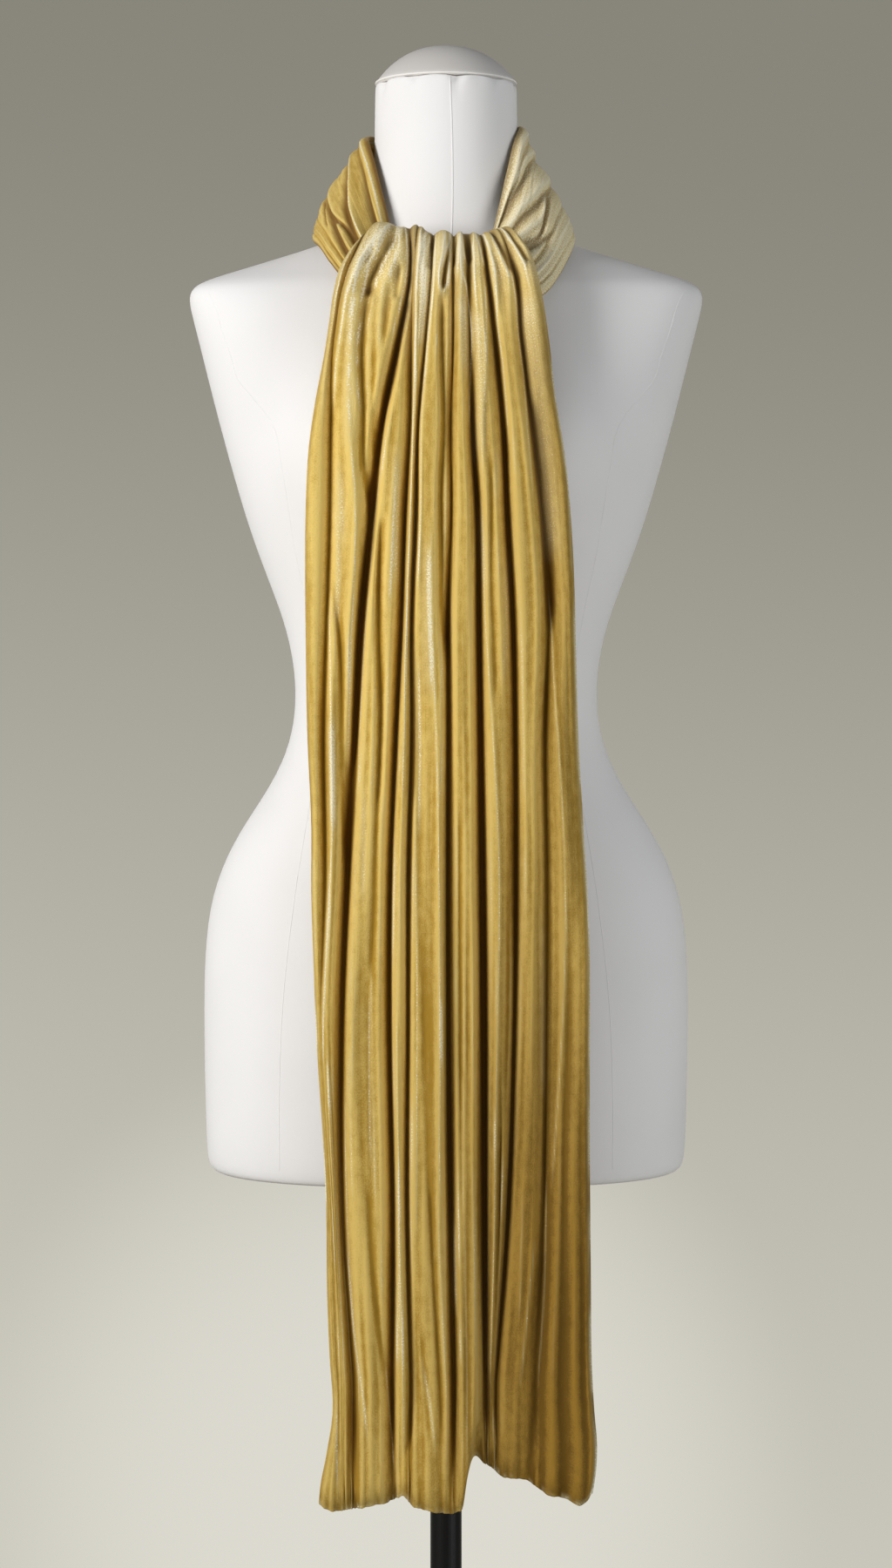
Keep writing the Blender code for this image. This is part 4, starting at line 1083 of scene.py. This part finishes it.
# %% Smooth copy of the torso
def copy_of(node, name):
    """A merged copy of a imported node, as an object of its own."""
    bpy.ops.object.select_all(action="DESELECT")
    source = bpy.data.objects[node]
    made = bpy.data.objects.new(name, source.data.copy())
    made.data.name = name
    bpy.context.scene.collection.objects.link(made)
    pick(made.name)
    bpy.ops.object.mode_set(mode="EDIT")
    bpy.ops.mesh.select_all(action="SELECT")
    bpy.ops.mesh.remove_doubles(threshold=0.00001)
    limit = math.radians(60)
    bpy.ops.mesh.tris_convert_to_quads(face_threshold=limit, shape_threshold=limit)
    bpy.ops.mesh.normals_make_consistent(inside=False)
    bpy.ops.object.mode_set(mode="OBJECT")
    return made


torso = copy_of("form_torso", "torso_cover")
rounding = torso.modifiers.new("rounding", "SUBSURF")
rounding.levels = 2
rounding.render_levels = 2
pick(torso.name)
bpy.ops.object.modifier_apply(modifier="rounding")
bpy.ops.object.shade_smooth_by_angle(angle=math.radians(50))
print("torso faces:", len(torso.data.polygons))

# %% [markdown]
# ## Seams of the cover
# The cover is cut in panels. Each seam is a low welt laid on the torso: its points
# are given as seen from the front or the back and dropped onto the surface with rays.
# The panels are alike on the left and the right, so one line serves four seams.

# %% Seams laid on the torso
surface_tree = BVHTree.FromObject(torso, bpy.context.evaluated_depsgraph_get())


def dropped(x, z, side=-1.0):
    """The torso's surface point and outward normal at x and z, from the front or back."""
    start = Vector((x * MM, side, z * MM))
    place, normal, _, _ = surface_tree.ray_cast(start, Vector((0.0, -side, 0.0)))
    if place is None:
        return None
    return place, normal


def seam(name, points, side=-1.0, radius=0.35, sink=0.15):
    """A welt along points of (x, z), a little proud of the torso."""
    curve = bpy.data.curves.new(name, "CURVE")
    curve.dimensions = "3D"
    curve.bevel_depth = radius * MM
    curve.bevel_resolution = 2
    curve.use_fill_caps = True
    table = np.array(points, float)
    steps = np.hypot(*np.diff(table, axis=0).T)
    along = np.concatenate([[0.0], np.cumsum(steps)])
    spots = read(along, table, np.arange(0.0, along[-1], SEAM_SPACING))
    found = [dropped(x, z, side) for x, z in spots]
    found = [place + normal * (-sink * MM) for place, normal in filter(None, found)]
    spline = curve.splines.new("POLY")
    spline.points.add(len(found) - 1)
    for point, place in zip(spline.points, found):
        point.co = (*place, 1.0)
    made = bpy.data.objects.new(name, curve)
    bpy.context.scene.collection.objects.link(made)
    pick(made.name)
    bpy.ops.object.convert(target="MESH")
    made = bpy.context.view_layer.objects.active
    bpy.ops.object.shade_smooth()
    return made


SEAM_SPACING = 4.0  # millimetres between a welt's points
PANEL_LINE = [
    (183, 1378), (175, 1362), (169, 1342), (162, 1322), (156, 1303), (148, 1293), (127, 1262),
    (123, 1240), (119, 1215), (114, 1180), (102, 1120), (94, 1062), (100, 1000), (112, 920),
    (121, 840), (124, 770), (124, 712),
]
seams = []
for side, word in ((-1.0, "left"), (1.0, "right")):
    panel_line = [(side * x, z) for x, z in PANEL_LINE]
    seams.append(seam("princess_seam_" + word, panel_line))
    seams.append(seam("back_panel_seam_" + word, panel_line, side=1.0))
back_line = [(0, 1530), (0, 1440), (0, 1300), (0, 1000), (0, 712)]
seams.append(seam("back_centre_seam", back_line, side=1.0))
neck_line = [(3.0, 1533), (4.5, 1490), (5.0, 1450), (4.0, 1400)]
seams.append(seam("neck_front_seam", neck_line, radius=0.9, sink=0.5))
print(len(seams), "seams")

# %% [markdown]
# ## The neck cap
# The cap is a low dome, flatter than half a ball. A disc is set at the cap's seam, then
# extruded upwards and drawn in, ring after ring, so that its outline follows the dome.

# %% The cap
CAP_SEAM = 1535.0
CAP_RISE = 28.8
CAP_RADIUS = 54.0
CAP_SIDES = 96
CAP_RINGS = 24
LAST_RING = 0.02  # the last ring keeps this share of its size, so the pole stays closed


def cap_rise(share):
    """The dome's height over its seam at a share of its radius."""
    return CAP_RISE * (1.0 - share**2.4) ** 0.9


bpy.ops.object.select_all(action="DESELECT")
bpy.ops.mesh.primitive_circle_add(
    vertices=CAP_SIDES,
    radius=CAP_RADIUS * MM,
    fill_type="NGON",
    location=(0.0, 0.0, CAP_SEAM * MM),
)
bpy.ops.object.mode_set(mode="EDIT")
bpy.ops.mesh.select_all(action="SELECT")
for number in range(CAP_RINGS):
    now = 1.0 - number / CAP_RINGS
    then = 1.0 - (number + 1) / CAP_RINGS
    climb = (cap_rise(then) - cap_rise(now)) * MM
    bpy.ops.mesh.extrude_region_move(TRANSFORM_OT_translate={"value": (0.0, 0.0, climb)})
    shrink = max(then / now, LAST_RING)
    bpy.ops.transform.resize(value=(shrink, shrink, 1.0), center_override=(0.0, 0.0, 0.0))
bpy.ops.object.mode_set(mode="OBJECT")
cap = settle("neck_cap_cover")
cap.data.shade_smooth()
print("cap height:", round(cap.dimensions.z / MM, 1), "mm")

# %% [markdown]
# ## The cap's bound edge
# A pale tape binds the cap where it meets the neck. It is a thin torus, half sunk into
# the cap's side, so that only its rounded lip shows.

# %% The cap's bound edge
BINDING_RADIUS = 0.8

bpy.ops.object.select_all(action="DESELECT")
bpy.ops.mesh.primitive_torus_add(
    major_segments=96,
    minor_segments=12,
    major_radius=(CAP_RADIUS - 0.5) * MM,
    minor_radius=BINDING_RADIUS * MM,
    location=(0.0, 0.0, (CAP_SEAM + BINDING_RADIUS) * MM),
)
cap_edge = settle("neck_cap_binding")
cap_edge.data.shade_smooth()
print("binding:", len(cap_edge.data.polygons), "faces")

# %% [markdown]
# ## Writing materials as sums
# A material is a net of nodes, which is slow to read when each link is made by hand.
# `Value` wraps a node's socket so that plain sums add the Math nodes, and `Finish`
# makes every other node from its settings and its sockets.


# %% Sums with shader values
class Value:
    """A shader value that takes part in Python sums."""

    def __init__(self, finish, socket):
        self.finish = finish
        self.socket = socket

    def sum(self, operation, first, second):
        """The Math node for one sum."""
        return self.finish.node("ShaderNodeMath", {"operation": operation}, {0: first, 1: second})

    def __add__(self, other):
        return self.sum("ADD", self, other)

    def __sub__(self, other):
        return self.sum("SUBTRACT", self, other)

    def __mul__(self, other):
        return self.sum("MULTIPLY", self, other)

    def __rsub__(self, other):
        return self.sum("SUBTRACT", other, self)

    __radd__ = __add__
    __rmul__ = __mul__

    def ramp(self, low, high):
        """0 below low, 1 above high, and a smooth rise between."""
        settings = {"interpolation_type": "SMOOTHSTEP"}
        return self.finish.node("ShaderNodeMapRange", settings, {0: self, 1: low, 2: high})


class Finish:
    """A material, its nodes and the values between them."""

    def __init__(self, name, roughness):
        self.material = bpy.data.materials.new(name)
        self.material.use_nodes = True
        self.tree = self.material.node_tree
        self.surface = self.tree.nodes["Principled BSDF"]
        self.set("Roughness", roughness)

    def feed(self, socket, value):
        """Put a number, a colour or another node's output into a socket."""
        if isinstance(value, Value):
            self.tree.links.new(value.socket, socket)
        else:
            socket.default_value = value

    def node(self, kind, settings, sockets, output=0):
        """Add a node, set it up, fill its sockets and give one of its outputs."""
        made = self.tree.nodes.new(kind)
        for name, value in settings.items():
            setattr(made, name, value)
        for name, value in sockets.items():
            self.feed(made.inputs[name], value)
        return Value(self, made.outputs[output])

    def set(self, name, value):
        """Fill one socket of the surface."""
        self.feed(self.surface.inputs[name], value)

    def mix(self, share, first, second):
        """A colour between two, by a share from 0 to 1."""
        sockets = {0: share, 6: first, 7: second}
        return self.node("ShaderNodeMix", {"data_type": "RGBA"}, sockets, 2)

    def scaled(self, coordinates, scale):
        """Coordinates multiplied by a scale on each axis."""
        settings = {"operation": "MULTIPLY"}
        return self.node("ShaderNodeVectorMath", settings, {0: coordinates, 1: scale})

    def noise(self, coordinates, scale, detail):
        """Soft random values between 0 and 1."""
        sockets = {"Vector": coordinates, "Scale": scale, "Detail": detail}
        return self.node("ShaderNodeTexNoise", {}, sockets)

    def bump(self, height, distance, strength):
        """Small relief on the surface; the distance is in metres."""
        sockets = {"Height": height, "Distance": distance, "Strength": strength}
        self.set("Normal", self.node("ShaderNodeBump", {}, sockets))

    def stored(self, name):
        """A value that was stored on the mesh's points."""
        return self.node("ShaderNodeAttribute", {"attribute_name": name}, {}, "Fac")


def colour(code):
    """A linear colour from a six-digit code of the kind that paint programs show."""
    parts = [int(code[i : i + 2], 16) / 255.0 for i in (0, 2, 4)]
    linear = [p / 12.92 if p <= 0.04045 else ((p + 0.055) / 1.055) ** 2.4 for p in parts]
    return (*linear, 1.0)


print("mid gold:", [round(part, 3) for part in colour("B8963A")])

# %% [markdown]
# ## One velvet for the whole scarf
# Velvet is dull where one looks into the pile and pale where the pile leans away, on
# the crests. Four values were stored on the cloth when it was shaped: how far out of the valleys it is, how
# strong the painted highlights and sheen on it are, how much painted shade it takes, and whether it is a
# small crest or a trough. From them the velvet paints shade into the valleys, low down and on the right,
# lightens small crests and darkens small troughs, and paints a pale sheen and white glints. Noises stretched
# along the cloth, in its own flat coordinates, add the pile's specks, its mottling and the finest pressed
# ribs.

# %% The velvet
PILE_SCALE = (1300.0, 900.0, 1.0)  # specks to the metre, round and along the cloth
MOTTLE_SCALE = (230.0, 110.0, 1.0)
RIB_SCALE = (420.0, 11.0, 1.0)
STREAK_SCALE = (70.0, 6.0, 1.0)


def velvet_finish():
    """Pleated gold velvet with painted highlights on its crests, painted shade in its valleys and low down,
    and a real sheen at grazing angles.
    """
    velvet = Finish("pleated_gold_velvet", 0.7)
    flat = velvet.node("ShaderNodeUVMap", {"uv_map": "cloth"}, {})
    relief = velvet.stored("relief")
    pale = velvet.stored("pale")
    speck = velvet.noise(velvet.scaled(flat, PILE_SCALE), 1.0, 2.0)
    mottle = velvet.noise(velvet.scaled(flat, MOTTLE_SCALE), 1.0, 3.0)
    ribs = velvet.noise(velvet.scaled(flat, RIB_SCALE), 1.0, 2.0)
    broad = velvet.noise(velvet.scaled(flat, STREAK_SCALE), 1.0, 3.0)
    tone = 0.5 + (ribs - 0.5) * 0.3 + (broad - 0.5) * 0.7 + (mottle - 0.5) * 0.4
    # Painted light and shade: small crests lighter, small troughs darker.
    tone = tone + (speck - 0.5) * 0.5 + (velvet.stored("crest") - 0.5) * 0.5
    body = velvet.mix(tone.ramp(0.2, 0.8), colour("B38C2B"), colour("E4C66F"))
    # Painted shade: the colour turns dark brown down in the valleys.
    valley = velvet.mix(relief.ramp(0.0, 0.6), colour("7A5206"), body)
    # Painted shade: low down, on the right and at the hem the colour turns a dark olive brown.
    shade = velvet.mix(tone.ramp(0.3, 0.8), colour("5E4103"), colour("8C650E"))
    low = velvet.mix(velvet.stored("painted_shade") * 0.9, valley, shade)
    # Painted sheen: a pale tint where the cloth is paled.
    sheen_tint = velvet.mix(pale * 0.55, low, colour("DFD4A2"))
    # Painted glints: white specks where the cloth is paled, with a lower roughness.
    glint_specks = (speck * 1.1 + ribs * 0.25 + pale * 0.5).ramp(0.97, 1.2)
    velvet.set("Base Color", velvet.mix(glint_specks * 0.8, sheen_tint, colour("FBF6DE")))
    velvet.set("Roughness", 0.82 - 0.3 * glint_specks)
    velvet.set("Sheen Weight", 0.34)
    velvet.set("Sheen Roughness", 0.3)
    velvet.set("Sheen Tint", colour("F8EEC0"))
    velvet.set("Specular IOR Level", 0.25)
    velvet.bump(ribs * 0.45 + speck * 0.35 + mottle * 0.4, 0.0012, 0.8)
    return velvet.material


def dress(pieces, material):
    """Give each piece one material."""
    for piece in pieces:
        piece.data.materials.clear()
        piece.data.materials.append(material)


VELVET = velvet_finish()
dress([front_fall, neck_cloth, under_fall, crossing], VELVET)
print("velvet nodes:", len(VELVET.node_tree.nodes))

# %% [markdown]
# ## Covers and paint
# The form's cover is a smooth matt knit, the cap's is a little greyer. The stand has
# satin black paint, which shows as a broad soft gloss with a trace of orange peel. The
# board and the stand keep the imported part's own shapes and only get their finishes.


# %% Cover and paint finishes
def cover_finish(name, light, dull):
    """A matt knitted cover: a fine weave and a faint unevenness of colour."""
    cover = Finish(name, 0.75)
    place = cover.node("ShaderNodeTexCoord", {}, {}, "Object")
    uneven = cover.noise(place, 9.0, 2.0)
    weave = cover.noise(cover.scaled(place, (1500.0, 1500.0, 2300.0)), 1.0, 1.0)
    cover.set("Base Color", cover.mix(uneven.ramp(0.3, 0.8), colour(light), colour(dull)))
    cover.set("Roughness", 0.72 + 0.12 * weave)
    cover.set("Specular IOR Level", 0.3)
    cover.bump(weave + uneven * 0.5, 0.0002, 0.35)
    return cover.material


def paint_finish():
    """Satin black paint on steel."""
    paint = Finish("satin_black_paint", 0.38)
    paint.set("Specular IOR Level", 0.25)
    place = paint.node("ShaderNodeTexCoord", {}, {}, "Object")
    peel = paint.noise(place, 700.0, 2.0)
    dust = paint.noise(place, 24.0, 4.0)
    paint.set("Base Color", paint.mix(dust.ramp(0.45, 0.8), colour("080707"), colour("100F0E")))
    paint.set("Roughness", 0.34 + 0.16 * dust)
    paint.bump(peel, 0.00008, 0.4)
    return paint.material


WHITE_COVER = cover_finish("smooth_white_cover", "F0EFEE", "EBEAE9")
CAP_COVER = cover_finish("matt_cap_cover", "D3D0CB", "CCC8C3")
BINDING = cover_finish("pale_binding", "F4F2EE", "EAE7E2")
BOARD_COVER = cover_finish("board_cover_cloth", "CFCDC8", "C6C3BD")
STAND_PAINT = paint_finish()
dress([torso, *seams], WHITE_COVER)
dress([cap], CAP_COVER)
dress([cap_edge], BINDING)
packed_finishes = {"form_board": BOARD_COVER}
for node in ("pole", "pole_foot", "pole_socket", "base_plate"):
    packed_finishes[node] = STAND_PAINT
for node, material in packed_finishes.items():
    for holder in bpy.data.objects[node].material_slots:
        holder.material = material
    print(node, "wears", material.name)

# %% [markdown]
# ## Floor and backdrop
# A plain pale floor runs into a wall. The wall shows only from its front, so
# that the form can be looked at from behind. Its paper gives off its own soft light,
# so the lamps that light the form don't change the wall's tone. That light is painted: darker high up, with
# a painted pool of light low down behind the form.

# %% Floor and backdrop
FLOOR_SIDE = 26.0
FLOOR_DROP = 0.0005
WALL_PLACE = 2.0
WALL_WIDTH = 8.0
WALL_HEIGHT = 3.4


def stage_plane(name, width, height, place, tilt):
    """A flat sheet, tilted about the x axis."""
    bpy.ops.object.select_all(action="DESELECT")
    bpy.ops.mesh.primitive_plane_add(size=1.0, location=place, rotation=(tilt, 0.0, 0.0))
    bpy.context.view_layer.objects.active.scale = (width, height, 1.0)
    return settle(name)


wall_middle = (0.0, WALL_PLACE, WALL_HEIGHT / 2.0)
floor = stage_plane("floor", FLOOR_SIDE, FLOOR_SIDE, (0.0, 0.0, -FLOOR_DROP), 0.0)
wall = stage_plane("backdrop", WALL_WIDTH, WALL_HEIGHT, wall_middle, math.pi / 2.0)


def backdrop_finish():
    """A glowing grey wall with painted light, darker high up and with a painted pool of light low down
    behind the form, that shows from its front only.
    """
    paper = Finish("backdrop_paper", 0.9)
    place = paper.node("ShaderNodeTexCoord", {}, {}, "Object")
    across = paper.node("ShaderNodeSeparateXYZ", {}, {0: place}, "X")
    up = paper.node("ShaderNodeSeparateXYZ", {}, {0: place}, "Z")
    # Painted light: the wall's glow darkens upwards and pools low down behind the form.
    shaded = (up + across * 0.12).ramp(-0.15, 2.05)
    climb = paper.mix(shaded, colour("CAC8BC"), colour("88857B"))
    aside = across + 0.08
    painted_light_pool = (1.0 - (aside * aside * 3.0 + (up - 0.1) * (up - 0.1) * 2.5).ramp(0.0, 1.0)) * 0.8
    front = paper.node("ShaderNodeEmission", {}, {"Color": paper.mix(painted_light_pool, climb, colour("E1DFD5"))})
    through = paper.node("ShaderNodeBsdfTransparent", {}, {})
    from_behind = paper.node("ShaderNodeNewGeometry", {}, {}, "Backfacing")
    seen = paper.node("ShaderNodeMixShader", {}, {0: from_behind, 1: front, 2: through})
    paper.feed(paper.tree.nodes["Material Output"].inputs["Surface"], seen)
    return paper.material


def floor_finish():
    """Pale matt floor."""
    pale_floor = Finish("pale_floor", 0.85)
    place = pale_floor.node("ShaderNodeTexCoord", {}, {}, "Object")
    uneven = pale_floor.noise(place, 3.0, 3.0)
    pale_floor.set("Base Color", pale_floor.mix(uneven, colour("BAB8AF"), colour("B2B0A6")))
    return pale_floor.material


dress([wall], backdrop_finish())
dress([floor], floor_finish())
print("backdrop faces", tuple(round(v, 2) for v in wall.data.polygons[0].normal))

# %% [markdown]
# ## Light
# One large soft light stands at the front left and gives the form its shaded right
# side. A weaker one fills in from the right, and a pale world lifts the shadows.


# %% Lights
def soft_light(name, place, aim, size, watts, tint):
    """An oblong lamp that shines from its place towards its aim."""
    lamp = bpy.data.lights.new(name, "AREA")
    lamp.shape = "RECTANGLE"
    lamp.size, lamp.size_y = size
    lamp.energy = watts
    lamp.color = tint
    made = bpy.data.objects.new(name, lamp)
    made.location = place
    made.rotation_euler = (Vector(aim) - Vector(place)).to_track_quat("-Z", "Y").to_euler()
    bpy.context.scene.collection.objects.link(made)
    return made


WARM = (1.0, 0.985, 0.975)
COOL = (0.96, 0.975, 1.0)
soft_light("key_light", (-2.0, -1.75, 1.75), (0.0, 0.0, 1.3), (1.2, 1.2), 65.0, WARM)
soft_light("fill_light", (2.5, -2.1, 0.95), (0.0, 0.0, 1.2), (1.8, 1.8), 36.0, COOL)
world = bpy.data.worlds.new("studio")
bpy.context.scene.world = world
world.use_nodes = True
surround = world.node_tree.nodes["Background"]
surround.inputs["Color"].default_value = colour("C4C6CA")
surround.inputs["Strength"].default_value = 0.33
bpy.context.scene.view_settings.view_transform = "Standard"
bpy.context.scene.view_settings.look = "None"

# %% [markdown]
# ## Camera
# The camera looks level from just under the height of the form's waist. It stands well
# back with a long lens, so that the scarf and the form keep their true proportions.

# %% Camera
CAMERA_AWAY = 3.2
CAMERA_HEIGHT = 1.0
lens = bpy.data.cameras.new("photo_camera")
lens.lens = 96.0
lens.sensor_width = 36.0
lens.clip_end = 60.0
camera = bpy.data.objects.new("photo_camera", lens)
camera.location = (0.0, -CAMERA_AWAY, CAMERA_HEIGHT)
camera.rotation_euler = (math.pi / 2.0, 0.0, 0.0)
bpy.context.scene.collection.objects.link(camera)
bpy.context.scene.camera = camera
print("camera at", tuple(camera.location))

# %% [markdown]
# ## Tie the pieces to the part
# Each new piece rides on the part's one body, and the imported nodes that the new pieces take the place of
# are hidden.
# Each stretch of the scarf printed the flat size that it unfolds to when the tube was built.

# %% Ride and replace
for piece in (front_fall, neck_cloth, under_fall, crossing, torso, cap, cap_edge, *seams):
    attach(piece, "root")
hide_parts("front_fall")
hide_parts("neck_left", "neck_right")
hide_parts("under_fall")
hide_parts("crossing")
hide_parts("form_torso")
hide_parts("form_cap")
